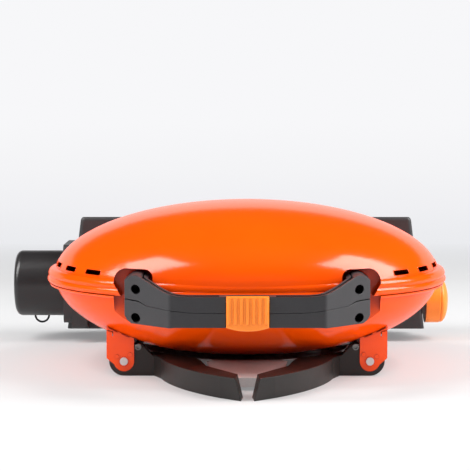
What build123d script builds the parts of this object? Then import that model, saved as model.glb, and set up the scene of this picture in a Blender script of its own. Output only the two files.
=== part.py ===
from build123d import *

import os
from math import asin, cos, degrees, radians, sin, sqrt, tan

# Portable tabletop gas grill with a clamshell body, seen with its handle towards -Y.
# Millimetres, +Z up. X = 0 is the plane of symmetry of the body, Y = 0 the middle of the
# bowl, and Z = 0 the table under the folded legs.

# ---------------------------------------------------------------- driving dimensions
# Body shells: the upper and lower halves of two ellipsoids that share one rim
BODY_HALF_WIDTH = 230.0
BODY_HALF_DEPTH = 205.0
BOWL_CLEARANCE = 12.0
LID_RISE = 88.0
BOWL_DROP = 97.0
BOWL_FLOOR_RISE = 14.0
SHELL_WALL = 1.6
SEAM_BELOW_RIM = 9.2
SEAM_GAP = 0.4
FIT_GAP = 0.4

# Rolled bead round the lid's rim and the flange under it
BEAD_REACH = 8.8
BEAD_ABOVE_RIM = 10.0
BEAD_FRONT_REACH = 1.5
FLANGE_REACH = 6.0
FLANGE_THICKNESS = 2.8
FLANGE_FRONT_REACH = 0.8

# Vent slots above the bead
VENT_LENGTH = 27.5
VENT_HEIGHT = 6.0
VENT_CORNER = 2.0
VENT_ABOVE_RIM = 14.2
VENT_PITCH_DEG = 13.3
VENTS_PER_SIDE = 7

# Pockets in both shells that take the ends of the handle
POCKET_SHARE = 0.5487
POCKET_WIDTH = 44.5
POCKET_ABOVE_RIM = 22.0
POCKET_BELOW_RIM = 38.5
POCKET_INSET = 60.0
POCKET_CORNER = 9.0
LID_POCKET_CORNER = 15.0
LID_POCKET_TAPER = 9.0
LID_POCKET_BEND = 5.0

# Handle: a bar in front of the body with an arm into each pocket
HANDLE_REACH = 50.0
HANDLE_DEPTH = 20.0
HANDLE_SLOPE_WIDTH = 51.7
HANDLE_END_REACH = 8.5
HANDLE_SHOULDER_INSET = 20.0
HANDLE_ARM_WIDTH = 26.0
HANDLE_ABOVE_RIM = 1.5
HANDLE_APEX_INSET = 12.7
HANDLE_APEX_RISE = 17.1
HANDLE_BELOW_RIM = 31.2
HANDLE_SEAM_DROP = 17.5
HANDLE_SEAM_FLARE = 3.0
CHANNEL_WALL = 4.5
CHANNEL_DEPTH = 6.0
CHANNEL_INNER_X = 30.0
CHANNEL_END_INSET = 20.0
HANDLE_LUG_DROP = 3.3

# Screws that hold the handle halves to the backs of the pockets
HANDLE_SCREW_INSET = 13.4
UPPER_SCREW_RISE = 1.9
LOWER_SCREW_RISE = 3.6
SCREW_LUG_LENGTH = 21.0
SCREW_RADIUS = 2.5
SCREW_HEAD_RADIUS = 5.1
SCREW_HEAD_LENGTH = 3.5
SCREW_NUT_RADIUS = 4.6
SCREW_NUT_LENGTH = 4.0
SCREW_CLEARANCE = 0.2

# Latch across the middle of the handle, on a pin in the upper half
LATCH_WIDTH = 45.4
LATCH_REACH = 2.5
LATCH_THICKNESS = 8.0
LATCH_AXIS_DROP = 5.0
LATCH_AXIS_INSET = 8.0
LATCH_BARREL_RADIUS = 5.0
LATCH_LIP_DROP = 3.8
LATCH_LIP_DEPTH = 8.5
LATCH_RIBS = 7
LATCH_RIB_RADIUS = 2.3
LATCH_RIB_HEIGHT = 1.4
LATCH_RIB_FOOT = 4.0
LATCH_PIN_RADIUS = 1.5
LATCH_PIN_GRIP = 5.0
PIN_CLEARANCE = 0.05

# Folding legs
PIVOT_SHARE = 0.615
PIVOT_Z = 17.3
PIVOT_RADIUS = 4.0
LEG_HEIGHT = 23.5
HUB_LENGTH = 30.2
LEG_BAR_REACH = 11.5
LEG_BAR_WIDTH = 22.0
LEG_BAR_Z = 3.0
LEG_ARC_GAP = 2.5
LEG_REAR_REACH = 13.5
LEG_TIP_X = 4.0
# Plan of the front arm, as shares of the pivot's distance from the middle and of the
# body's half-depth: its outer edge, from the hub to the tip, then its inner edge back
ARM_ELBOW_SHARE = (0.756, 0.479)
ARM_SHOULDER_SHARE = (0.693, 0.576)
ARM_BULGE_SHARE = (0.525, 0.878)
ARM_TOE_SHARE = (0.2065, 1.166)
ARM_OUTER_END_SHARE = 1.2865
ARM_INNER_END_SHARE = 1.1805
ARM_INNER_SHARES = ((0.3215, 0.829), (0.3675, 0.6585), (0.438, 0.512))
ARM_ROOT_SHARE = 0.714
LEG_TIP_REACH = 20.0
LEG_TIP_WIDTH = 26.0
LEG_TIP_PLAN_SLANT = 2.4
LEG_DEPLOYED_DEG = 106.0
STOP_PIN_REACH = 16.6
STOP_PIN_Z = 34.0
STOP_PIN_RADIUS = 3.6
STOP_PIN_HOLLOW = 2.3
STOP_BOSS_LENGTH = 13.2
STOP_BOSS_HALF = 5.5
STOP_BOSS_RISE = 3.4
STOP_BOSS_FOOT = 16.0

# Hinge brackets of the legs, folded from sheet and riveted to the bowl
BRACKET_SHEET = 2.4
BRACKET_SHARE = 0.4927
BRACKET_DEPTH = 35.0
BRACKET_INNER_REACH = 11.7
BRACKET_OUTER_REACH = 19.9
BRACKET_WEB_Z = 20.9
BRACKET_SLANT = 14.0
# Where the ear's round end stops, as shares of its radius
EAR_END_ACROSS = 0.94
EAR_END_DOWN = 0.34
# Gaps between the ear and the bowl, from the pivot outwards
EAR_GAP_HEIGHT = 2.0
EAR_GAPS = ((-6.5, 2.6), (7.2, 17.6))
# Relief cut at the outer bend of the ear
RELIEF_WIDTH = 1.2
RELIEF_REACH = 6.4
RELIEF_BELOW_BEND = 6.4
RELIEF_BELOW_BOWL = 6.3555
# Dimples that the leg's hub clicks into, from the pivot
DIMPLES = ((7.7, 5.6), (-7.3, 7.9))
DIMPLE_RADIUS = 2.3
DIMPLE_HEIGHT = 1.2
RIVET_HEAD_RADIUS = 4.6
RIVET_HEAD_LENGTH = 2.4

# Grease tray under the bowl
TRAY_LEG_GAP = 5.0
TRAY_RIM_WIDTH = 3.0
TRAY_RIM_Z = 22.0
TRAY_FLARE = 17.0
TRAY_FLOOR_Z = 8.0
TRAY_SHEET = 1.2
TRAY_TAB_INSET = 10.0
TRAY_TAB_FRONT_Z = 14.2
TRAY_TAB_LIP_Z = 4.0
TRAY_TAB_OVERLAP = 8.0
TRAY_TAB_BEND = 5.0
TRAY_TAB_TAPER = 30.0
# Half-widths of the tab from its root to its front, as shares of the pivot's distance
TRAY_TAB_SHARES = (0.266, 0.325, 0.29, 0.187)
TRAY_CLIP_WIDTH = 18.0
TRAY_CLIP_SHEET = 1.5
TRAY_CLIP_BOTTOM_Z = 16.5
DRAIN_RADIUS = 26.0

# Cooking grate: two cast halves on the wall of the bowl
GRATE_BELOW_RIM = 25.0
GRATE_THICKNESS = 8.0
GRATE_RIM = 13.0
GRATE_SLOT = 7.0
GRATE_PITCH = 15.0
GRATE_SPLIT = 1.0

# Burner, gas valve and regulator
GAS_INSET = 12.5
VALVE_BELOW_RIM = 57.3
BURNER_HALF_WIDTH = 120.0
BURNER_HALF_DEPTH = 62.0
BURNER_CORNER = 50.0
BURNER_TUBE_RADIUS = 8.0
FEED_X = 75.0
FEED_RADIUS = 9.0
FEED_END_INSET = 33.0
VENTURI_RADIUS = 11.5
VENTURI_WALL = 1.5
VALVE_RADIUS = 14.0
VALVE_INSET = 65.0
VALVE_LENGTH = 55.0
STEM_RADIUS = 3.0
STEM_DEPTH = 23.0
PUSH_TRAVEL = 3.0
REGULATOR_BELOW_RIM = 34.6
REGULATOR_RADIUS = 24.0
REGULATOR_LENGTH = 48.0
GAS_TUBE_RADIUS = 4.0
GAS_TUBE_OFFSET = 33.5
GAS_TUBE_GAP = 4.8
GAS_TUBE_RUN = 50.0
GAS_TUBE_END_RUN = 40.0
PORT_RADIUS = 6.5
PORT_LENGTH = 5.5
ELECTRODE_X = 40.0
ELECTRODE_BELOW_RIM = 47.0
ELECTRODE_RADIUS = 4.0
ELECTRODE_TIP_RADIUS = 1.2

# Rear housing in two halves, the upper one on the lid
HOUSING_FRONT_INSET = 40.0
HOUSING_BACK_REACH = 45.0
HOUSING_BOTTOM_Z = 17.0
HOUSING_ABOVE_RIM = 55.0
HOUSING_BACK_DROP = 12.0
HOUSING_BOTTOM_REACH = 3.8
HOUSING_TOP_INSET = 15.0
HOUSING_WALL = 3.0
HOUSING_CORNER = 5.0
HOUSING_TOP_CORNER = 6.0
BODY_CLEARANCE = 0.5
HOUSING_BOSS_X = 60.0
HOUSING_BOSS_RADIUS = 7.0
HOUSING_BOSS_DROP = 22.0
HOUSING_SCREW_LENGTH = 28.0

# Lid hinge at the back of the housing
HINGE_INSET = 80.0
KNUCKLE_RADIUS = 6.0
KNUCKLE_LENGTH = 14.0
KNUCKLE_GAP = 0.4
HINGE_PIN_RADIUS = 2.5
HINGE_PIN_REACH = 2.0

# Pads that the grill stands on when it is stored on its back
PAD_RADIUS = 12.0
PAD_THICKNESS = 7.0
PAD_INSET = 60.0
LOWER_PAD_Z = 38.0
UPPER_PAD_ABOVE_RIM = 26.0

# Gas inlet at the left end, with its cap
COLLAR_INSET = 3.4
COLLAR_LENGTH = 21.0
COLLAR_BOTTOM_Z = 19.0
COLLAR_HALF_DEPTH = 44.0
INLET_FLANGE_THICKNESS = 10.4
INLET_FLANGE_BOTTOM_Z = 26.0
INLET_FLANGE_ABOVE_RIM = 19.0
SOCKET_RADIUS = 17.0
SOCKET_LENGTH = 40.0
SOCKET_BORE_RADIUS = 12.1
SOCKET_BORE_DEPTH = 16.0
CAP_RADIUS = 42.9
CAP_LENGTH = 64.7
CAP_WALL = 2.9
CAP_ROUND = 8.0
SPIGOT_LENGTH = 8.0
SPIGOT_WALL = 3.2
LOOP_WIRE_RADIUS = 1.3
LOOP_HALF_WIDTH = 9.0

# Control knob at the right end
KNOB_RADIUS = 29.7
KNOB_LENGTH = 20.2
KNOB_DOME = 10.2
KNOB_GROOVE = 1.2
POINTER_WIDTH = 2.4
POINTER_HEIGHT = 0.8
BEZEL_RADIUS = 24.0
BEZEL_REACH = 2.2

# ---------------------------------------------------------------- worked-out values
# Levels, which follow the rim
RIM_Z = BOWL_CLEARANCE + BOWL_DROP
BOWL_FLOOR_Z = BOWL_CLEARANCE + BOWL_FLOOR_RISE
SEAM_Z = RIM_Z - SEAM_BELOW_RIM
BEAD_TOP_Z = RIM_Z + BEAD_ABOVE_RIM
VENT_Z = RIM_Z + VENT_ABOVE_RIM
POCKET_TOP_Z = RIM_Z + POCKET_ABOVE_RIM
POCKET_BOTTOM_Z = RIM_Z - POCKET_BELOW_RIM
HANDLE_TOP_Z = RIM_Z + HANDLE_ABOVE_RIM
HANDLE_APEX_Z = HANDLE_TOP_Z + HANDLE_APEX_RISE
HANDLE_BOTTOM_Z = RIM_Z - HANDLE_BELOW_RIM
HANDLE_SEAM_Z = HANDLE_TOP_Z - HANDLE_SEAM_DROP
HANDLE_LUG_BOTTOM_Z = HANDLE_BOTTOM_Z - HANDLE_LUG_DROP
UPPER_SCREW_Z = HANDLE_TOP_Z + UPPER_SCREW_RISE
LOWER_SCREW_Z = HANDLE_BOTTOM_Z + LOWER_SCREW_RISE
LATCH_AXIS_Z = HANDLE_TOP_Z - LATCH_AXIS_DROP
LATCH_LIP_Z = HANDLE_BOTTOM_Z - LATCH_LIP_DROP
GRATE_Z = RIM_Z - GRATE_BELOW_RIM
VALVE_Z = RIM_Z - VALVE_BELOW_RIM
ELECTRODE_Z = RIM_Z - ELECTRODE_BELOW_RIM
REGULATOR_Z = RIM_Z - REGULATOR_BELOW_RIM
HOUSING_TOP_Z = RIM_Z + HOUSING_ABOVE_RIM
UPPER_PAD_Z = RIM_Z + UPPER_PAD_ABOVE_RIM
INLET_FLANGE_TOP_Z = RIM_Z + INLET_FLANGE_ABOVE_RIM
LID_EDGE_Z = SEAM_Z + SEAM_GAP
HINGE_Z = SEAM_Z + SEAM_GAP / 2

# Depths, which follow the body's half-depth
DEPTH_RATIO = BODY_HALF_DEPTH / BODY_HALF_WIDTH
POCKET_BACK_Y = POCKET_INSET - BODY_HALF_DEPTH
HANDLE_FRONT_Y = -BODY_HALF_DEPTH - HANDLE_REACH
HANDLE_SHOULDER_Y = HANDLE_SHOULDER_INSET - BODY_HALF_DEPTH
SCREW_HEAD_Y = POCKET_BACK_Y - SCREW_LUG_LENGTH
BRACKET_FRONT_Y = BRACKET_SHARE * BODY_HALF_DEPTH
BRACKET_BACK_Y = BRACKET_FRONT_Y - BRACKET_DEPTH
HUB_FRONT_Y = BRACKET_FRONT_Y - BRACKET_SHEET - FIT_GAP
HUB_BACK_Y = HUB_FRONT_Y - HUB_LENGTH
STOP_BOSS_BACK_Y = HUB_FRONT_Y - STOP_BOSS_LENGTH
LEG_TIP_INNER_Y = -BODY_HALF_DEPTH - LEG_TIP_REACH
LEG_TIP_OUTER_Y = LEG_TIP_INNER_Y - LEG_TIP_WIDTH
TRAY_TAB_FRONT_Y = TRAY_TAB_INSET - BODY_HALF_DEPTH
GAS_Y = BODY_HALF_DEPTH - GAS_INSET
GAS_TUBE_Y = GAS_Y + GAS_TUBE_OFFSET
FEED_END_Y = BODY_HALF_DEPTH - FEED_END_INSET
HOUSING_FRONT_Y = BODY_HALF_DEPTH - HOUSING_FRONT_INSET
HOUSING_BACK_Y = BODY_HALF_DEPTH + HOUSING_BACK_REACH

# Places across the grill, which follow the body's half-width
POCKET_X = POCKET_SHARE * BODY_HALF_WIDTH
HANDLE_END_X = POCKET_X + HANDLE_END_REACH
HANDLE_KINK_X = HANDLE_END_X - HANDLE_SLOPE_WIDTH
HANDLE_APEX_X = HANDLE_END_X - HANDLE_APEX_INSET
HANDLE_SCREW_X = HANDLE_END_X - HANDLE_SCREW_INSET
PIVOT_X = PIVOT_SHARE * BODY_HALF_WIDTH
LEG_BAR_INNER_X = PIVOT_X - LEG_BAR_REACH
LEG_BAR_OUTER_X = LEG_BAR_INNER_X + LEG_BAR_WIDTH
STOP_PIN_X = PIVOT_X - STOP_PIN_REACH
BRACKET_INNER_X = PIVOT_X - BRACKET_INNER_REACH
BRACKET_OUTER_X = PIVOT_X + BRACKET_OUTER_REACH
TRAY_RIM_RADIUS = LEG_BAR_INNER_X - TRAY_LEG_GAP
TRAY_FLOOR_RADIUS = TRAY_RIM_RADIUS - TRAY_FLARE
LEG_ARC_RADIUS = TRAY_RIM_RADIUS + LEG_ARC_GAP
LEG_REAR_RADIUS = PIVOT_X + LEG_REAR_REACH
VALVE_BACK_X = BODY_HALF_WIDTH - VALVE_INSET
VALVE_FRONT_X = VALVE_BACK_X + VALVE_LENGTH
STEM_BACK_X = VALVE_FRONT_X - STEM_DEPTH
HOUSING_BOTTOM_HALF = BODY_HALF_WIDTH + HOUSING_BOTTOM_REACH
HOUSING_TOP_HALF = BODY_HALF_WIDTH - HOUSING_TOP_INSET
HOUSING_SLOPE = (HOUSING_BOTTOM_HALF - HOUSING_TOP_HALF) / (HOUSING_TOP_Z - HOUSING_BOTTOM_Z)
HINGE_X = BODY_HALF_WIDTH - HINGE_INSET
PAD_X = BODY_HALF_WIDTH - PAD_INSET
COLLAR_OUTER_X = COLLAR_INSET - BODY_HALF_WIDTH
COLLAR_INNER_X = COLLAR_OUTER_X + COLLAR_LENGTH
REGULATOR_INNER_X = COLLAR_INNER_X + REGULATOR_LENGTH
BEZEL_FACE_X = BODY_HALF_WIDTH + BEZEL_REACH

# Lengths and clearances that more than one piece uses
HANDLE_BACK_Y = HANDLE_FRONT_Y + HANDLE_DEPTH
LATCH_AXIS_Y = HANDLE_FRONT_Y + LATCH_AXIS_INSET
LATCH_FRONT_Y = HANDLE_FRONT_Y - LATCH_REACH
LATCH_BACK_Y = LATCH_FRONT_Y + LATCH_THICKNESS
HUB_RADIUS = PIVOT_Z
COLLAR_TOP_Z = SEAM_Z - FIT_GAP
LOWER_BOSS_Z = SEAM_Z - HOUSING_BOSS_DROP
GAS_TUBE_Z = LOWER_BOSS_Z - HOUSING_BOSS_RADIUS - GAS_TUBE_GAP - GAS_TUBE_RADIUS
UPPER_BOSS_Z = BEAD_TOP_Z + HOUSING_BOSS_RADIUS + 4
PIN_HALF_LENGTH = 1.5 * KNUCKLE_LENGTH + KNUCKLE_GAP + HINGE_PIN_REACH
CAP_OPEN_X = COLLAR_OUTER_X - INLET_FLANGE_THICKNESS - FIT_GAP


def housing_half(z):
    """Half-width of the housing's outside at height z."""
    return HOUSING_BOTTOM_HALF - HOUSING_SLOPE * (z - HOUSING_BOTTOM_Z)


# The knob's back, which stays clear of the slanting wall when the knob is pushed in
KNOB_BACK_X = housing_half(VALVE_Z - KNOB_RADIUS) + PUSH_TRAVEL + FIT_GAP


def bowl_half_width(z, inset=0.0):
    """Half-width of the bowl at height z, for its outside or for a surface inset from it."""
    drop = (RIM_Z - z) / (BOWL_DROP - inset)
    return (BODY_HALF_WIDTH - inset) * sqrt(1 - drop**2)


def bowl_y(x, z):
    """Depth at which the bowl's outside stands at x and z."""
    share = (x / BODY_HALF_WIDTH) ** 2 + ((RIM_Z - z) / BOWL_DROP) ** 2
    return BODY_HALF_DEPTH * sqrt(1 - share)


def bowl_z(x, y):
    """Height at which the bowl's outside stands at x and y."""
    share = (x / BODY_HALF_WIDTH) ** 2 + (y / BODY_HALF_DEPTH) ** 2
    return RIM_Z - BOWL_DROP * sqrt(1 - share)


def lid_y(x, z):
    """Depth at which the lid's outside stands at x and z."""
    share = (x / BODY_HALF_WIDTH) ** 2 + ((z - RIM_Z) / LID_RISE) ** 2
    return BODY_HALF_DEPTH * sqrt(1 - share)


def arc_angle(z, height):
    """Angle on an ellipse of this half-height at which it reaches z."""
    return degrees(asin((z - RIM_Z) / height))


def front_plane(y):
    """Plane across the grill at depth y, from which a positive extrusion runs to the front."""
    return Plane.XZ.offset(-y)


def side_plane(x):
    """Plane along the grill at x, from which a positive extrusion runs to the right."""
    return Plane.YZ.offset(x)


def rod_y(x, z, radius, y_from, y_to):
    """Round rod along Y."""
    with BuildPart() as rod:
        with BuildSketch(front_plane(max(y_from, y_to))):
            with Locations((x, z)):
                Circle(radius)
        extrude(amount=abs(y_to - y_from))
    return rod.part


def rod_x(y, z, radius, x_from, x_to):
    """Round rod along X."""
    with BuildPart() as rod:
        with BuildSketch(side_plane(min(x_from, x_to))):
            with Locations((y, z)):
                Circle(radius)
        extrude(amount=abs(x_to - x_from))
    return rod.part


def ellipsoid(height, growth=0.0):
    """Solid half-axes of a shell, all round the rim level, grown by a clearance."""
    with BuildPart() as solid:
        with BuildSketch(Plane.XZ):
            with BuildLine():
                EllipticalCenterArc(
                    (0, RIM_Z), BODY_HALF_WIDTH + growth, height + growth, -90, arc_size=180
                )
                Line((0, RIM_Z + height + growth), (0, RIM_Z - height - growth))
            make_face()
        revolve(axis=Axis.Z)
        scale(by=(1, DEPTH_RATIO, 1))
    return solid.part


def pocket_block(growth=0.0):
    """Both pockets of the handle, as rounded blocks open to the front."""
    width = POCKET_WIDTH + 2 * growth
    height = POCKET_TOP_Z - POCKET_BOTTOM_Z + 2 * growth
    with BuildPart() as block:
        with BuildSketch(front_plane(POCKET_BACK_Y + growth)):
            with Locations((0, (POCKET_TOP_Z + POCKET_BOTTOM_Z) / 2)):
                with GridLocations(2 * POCKET_X, 0, 2, 1):
                    RectangleRounded(width, height, POCKET_CORNER + growth)
        extrude(amount=BODY_HALF_DEPTH)
    return block.part


def lid_pocket_block(growth=0.0):
    """Pockets of the lid, which narrow on their outer side towards the seam."""
    half = POCKET_WIDTH / 2 + growth
    top_z = POCKET_TOP_Z + growth
    foot_z = POCKET_BOTTOM_Z - growth
    with BuildPart() as block:
        with BuildSketch(front_plane(POCKET_BACK_Y + growth)) as front:
            with BuildLine():
                Polyline(
                    (POCKET_X - half, foot_z),
                    (POCKET_X + half - LID_POCKET_TAPER, foot_z),
                    (POCKET_X + half - LID_POCKET_TAPER, SEAM_Z),
                    (POCKET_X + half, RIM_Z + LID_POCKET_BEND),
                    (POCKET_X + half, top_z),
                    (POCKET_X - half, top_z),
                    close=True,
                )
            make_face()
            crown = front.vertices().group_by(Axis.Y)[-1].sort_by(Axis.X)
            fillet(crown[0], POCKET_CORNER + growth)
            fillet(front.vertices().group_by(Axis.Y)[-1].sort_by(Axis.X)[-1], LID_POCKET_CORNER + growth)
            mirror(about=Plane.YZ)
        extrude(amount=BODY_HALF_DEPTH)
    return block.part


def layer(z_low, z_high):
    """Block that holds what lies between two heights."""
    size = 4 * BODY_HALF_WIDTH
    with BuildPart() as slab:
        with BuildSketch(Plane.XY.offset(z_low)):
            Rectangle(size, size)
        extrude(amount=z_high - z_low)
    return slab.part


def bowl_arc(inset, z_low, z_high):
    """Half-outline of the bowl's outside, or of a surface inset from it."""
    drop = BOWL_DROP - inset
    low = arc_angle(z_low, drop)
    high = arc_angle(z_high, drop)
    return EllipticalCenterArc(
        (0, RIM_Z), BODY_HALF_WIDTH - inset, drop, low, arc_size=high - low
    )


def rim_ring(outline, front_reach, side_reach, cavity=None):
    """Ring round a shell's rim, which stands out less at the front than at the sides."""
    ratio = (BODY_HALF_DEPTH + front_reach) / (BODY_HALF_WIDTH + side_reach)
    with BuildPart() as ring:
        with BuildSketch(Plane.XZ):
            with BuildLine():
                outline()
            make_face()
        revolve(axis=Axis.Z)
        scale(by=(1, ratio, 1))
        if cavity:
            add(cavity, mode=Mode.SUBTRACT)
    return ring.part


def finish(piece, name):
    """Name a piece and write its file."""
    piece.part.label = name
    export_step(piece.part, f"parts/{name}.step")


os.makedirs("parts", exist_ok=True)

# ---------------------------------------------------------------- lid and bowl
LID_BODY = ellipsoid(LID_RISE)
BOWL_BODY = ellipsoid(BOWL_DROP)

with BuildPart() as lid_cups:
    add(lid_pocket_block(SHELL_WALL) & LID_BODY & layer(LID_EDGE_Z, RIM_Z + LID_RISE))
with BuildPart() as bowl_cups:
    add(pocket_block(SHELL_WALL) & BOWL_BODY & layer(BOWL_FLOOR_Z, SEAM_Z))

VENT_ANGLES = [
    side + VENT_PITCH_DEG * (i - (VENTS_PER_SIDE - 1) / 2)
    for side in (0, 180)
    for i in range(VENTS_PER_SIDE)
]


def bead_outline():
    """Section of the rolled bead: two ridges over the lid's edge."""
    root = BODY_HALF_WIDTH - BEAD_REACH
    reach = BODY_HALF_WIDTH + BEAD_REACH
    groove_z = (LID_EDGE_Z + BEAD_TOP_Z) / 2 - 1
    edge = Line((root, LID_EDGE_Z), (reach - BEAD_REACH / 2, LID_EDGE_Z))
    lower_ridge = ThreePointArc(
        edge @ 1, (reach, (LID_EDGE_Z + groove_z) / 2), (reach - 2, groove_z)
    )
    upper_ridge = ThreePointArc(
        lower_ridge @ 1, (reach - 1.2, groove_z + 3.5), (reach - 5, BEAD_TOP_Z - 1.5)
    )
    Polyline(
        upper_ridge @ 1, (BODY_HALF_WIDTH - SHELL_WALL, BEAD_TOP_Z), (root, BEAD_TOP_Z), edge @ 0
    )


def flange_outline():
    """Section of the flange under the bead."""
    root = BODY_HALF_WIDTH - BEAD_REACH
    reach = BODY_HALF_WIDTH + FLANGE_REACH
    low_z = SEAM_Z - FLANGE_THICKNESS
    Polyline(
        (root, low_z),
        (reach - 1.5, low_z),
        (reach, low_z + 1),
        (reach, SEAM_Z),
        (root, SEAM_Z),
        close=True,
    )


with BuildPart() as lid_shell:
    skirt_angle = arc_angle(LID_EDGE_Z, LID_RISE)
    with BuildSketch(Plane.XZ):
        with BuildLine():
            dome = EllipticalCenterArc(
                (0, RIM_Z), BODY_HALF_WIDTH, LID_RISE, skirt_angle, arc_size=90 - skirt_angle
            )
            Polyline(dome @ 1, (0, LID_EDGE_Z), dome @ 0)
        make_face()
    revolve(axis=Axis.Z)
    scale(by=(1, DEPTH_RATIO, 1))
    add(rim_ring(bead_outline, BEAD_FRONT_REACH, BEAD_REACH))
    add(ellipsoid(LID_RISE, -SHELL_WALL), mode=Mode.SUBTRACT)
    add(lid_cups.part)
    add(lid_pocket_block(), mode=Mode.SUBTRACT)
    for angle in VENT_ANGLES:
        place = (
            BODY_HALF_WIDTH * cos(radians(angle)),
            BODY_HALF_DEPTH * sin(radians(angle)),
            VENT_Z,
        )
        outward = (
            cos(radians(angle)) / BODY_HALF_WIDTH,
            sin(radians(angle)) / BODY_HALF_DEPTH,
            0,
        )
        along = (-outward[1], outward[0], 0)
        with BuildSketch(Plane(origin=place, x_dir=along, z_dir=outward)):
            RectangleRounded(VENT_LENGTH, VENT_HEIGHT, VENT_CORNER)
        extrude(amount=2 * BEAD_REACH, both=True, mode=Mode.SUBTRACT)
    with BuildSketch(front_plane(POCKET_BACK_Y + 2 * SHELL_WALL)):
        with Locations((0, UPPER_SCREW_Z)):
            with GridLocations(2 * HANDLE_SCREW_X, 0, 2, 1):
                Circle(SCREW_RADIUS + SCREW_CLEARANCE)
    extrude(amount=3 * SHELL_WALL, mode=Mode.SUBTRACT)
    with BuildSketch(front_plane(BODY_HALF_DEPTH)):
        with GridLocations(2 * HOUSING_BOSS_X, 0, 2, 1):
            with Locations((0, UPPER_BOSS_Z)):
                Circle(SCREW_RADIUS + SCREW_CLEARANCE)
    extrude(amount=BODY_HALF_DEPTH / 2, mode=Mode.SUBTRACT)
finish(lid_shell, "lid_shell")

with BuildPart() as base_shell:
    floor_in_z = BOWL_FLOOR_Z + SHELL_WALL
    with BuildSketch(Plane.XZ):
        with BuildLine():
            wall = bowl_arc(0, BOWL_FLOOR_Z, SEAM_Z)
            inside = bowl_arc(SHELL_WALL, floor_in_z, SEAM_Z)
            Line(wall @ 1, inside @ 1)
            Polyline(wall @ 0, (0, BOWL_FLOOR_Z), (0, floor_in_z), inside @ 0)
        make_face()
    revolve(axis=Axis.Z)
    scale(by=(1, DEPTH_RATIO, 1))
    add(rim_ring(flange_outline, FLANGE_FRONT_REACH, FLANGE_REACH, ellipsoid(BOWL_DROP, -SHELL_WALL)))
    add(bowl_cups.part)
    add(pocket_block(), mode=Mode.SUBTRACT)
    with BuildSketch(Plane.XY.offset(BOWL_FLOOR_Z)):
        Circle(DRAIN_RADIUS)
    extrude(amount=2 * SHELL_WALL, both=True, mode=Mode.SUBTRACT)
    with BuildSketch(front_plane(POCKET_BACK_Y + 2 * SHELL_WALL)):
        with Locations((0, LOWER_SCREW_Z)):
            with GridLocations(2 * HANDLE_SCREW_X, 0, 2, 1):
                Circle(SCREW_RADIUS + SCREW_CLEARANCE)
    extrude(amount=3 * SHELL_WALL, mode=Mode.SUBTRACT)
    with BuildSketch(front_plane(BODY_HALF_DEPTH)):
        with Locations((FEED_X, VALVE_Z)):
            Circle(FEED_RADIUS + BODY_CLEARANCE)
        with Locations((ELECTRODE_X, ELECTRODE_Z)):
            Circle(ELECTRODE_RADIUS + BODY_CLEARANCE)
        with Locations((-HOUSING_BOSS_X, LOWER_BOSS_Z), (HOUSING_BOSS_X, LOWER_BOSS_Z)):
            Circle(SCREW_RADIUS + SCREW_CLEARANCE)
    extrude(amount=BODY_HALF_DEPTH / 2, mode=Mode.SUBTRACT)
finish(base_shell, "base_shell")

# ---------------------------------------------------------------- handle and latch
ARM_OUTER = (HANDLE_END_X, HANDLE_SHOULDER_Y)
ARM_INNER_X = HANDLE_END_X - HANDLE_ARM_WIDTH
LUG_BACK_Y = POCKET_BACK_Y - FIT_GAP
RECESS_HALF = LATCH_WIDTH / 2 + FIT_GAP


def handle_plan(inset=0.0):
    """Plan of the handle, or of what is left inside a wall of this thickness."""
    with BuildSketch(Plane.XY.offset(HANDLE_LUG_BOTTOM_Z)) as sketch:
        with BuildLine():
            Polyline(
                (0, HANDLE_FRONT_Y),
                (HANDLE_KINK_X, HANDLE_FRONT_Y),
                ARM_OUTER,
                (HANDLE_END_X, LUG_BACK_Y),
                (ARM_INNER_X, LUG_BACK_Y),
                (ARM_INNER_X, HANDLE_SHOULDER_Y - 4),
                (HANDLE_KINK_X - 6, HANDLE_BACK_Y),
                (0, HANDLE_BACK_Y),
            )
            mirror(about=Plane.YZ)
        plan = make_face()
        bends = plan.vertices().filter_by(lambda v: 1 < abs(v.X) < HANDLE_END_X + 1)
        fillet(bends.filter_by(lambda v: v.Y < LUG_BACK_Y - 1), HANDLE_DEPTH / 4)
        if inset:
            offset(amount=-inset, kind=Kind.INTERSECTION, mode=Mode.REPLACE)
    return sketch.sketch


def handle_front(outline):
    """Block behind an outline of the handle's front."""
    with BuildPart() as block:
        with BuildSketch(front_plane(POCKET_BACK_Y)):
            with BuildLine():
                outline()
                mirror(about=Plane.YZ)
            make_face()
        extrude(amount=BODY_HALF_DEPTH)
    return block.part


def handle_half(outline):
    """Half of the handle: its plan, met by an outline of the front."""
    with BuildPart() as half:
        add(handle_plan())
        extrude(amount=HANDLE_APEX_Z - HANDLE_LUG_BOTTOM_Z)
        add(handle_front(outline), mode=Mode.INTERSECT)
    return half.part


def handle_channel():
    """Channel sunk into the top of the upper half, from the latch to each lug."""
    end_x = HANDLE_END_X - CHANNEL_END_INSET
    with BuildPart() as channel:
        add(handle_plan(CHANNEL_WALL))
        extrude(amount=HANDLE_APEX_Z - HANDLE_LUG_BOTTOM_Z)
        add(
            Pos(0, 0, -CHANNEL_DEPTH) * handle_front(upper_outline),
            mode=Mode.SUBTRACT,
        )
        with BuildSketch(Plane.XY.offset(HANDLE_SEAM_Z)):
            with GridLocations(CHANNEL_INNER_X + end_x, 0, 2, 1):
                Rectangle(end_x - CHANNEL_INNER_X, 4 * BODY_HALF_DEPTH)
        extrude(amount=HANDLE_APEX_Z - HANDLE_SEAM_Z, mode=Mode.INTERSECT)
    return channel.part


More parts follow.
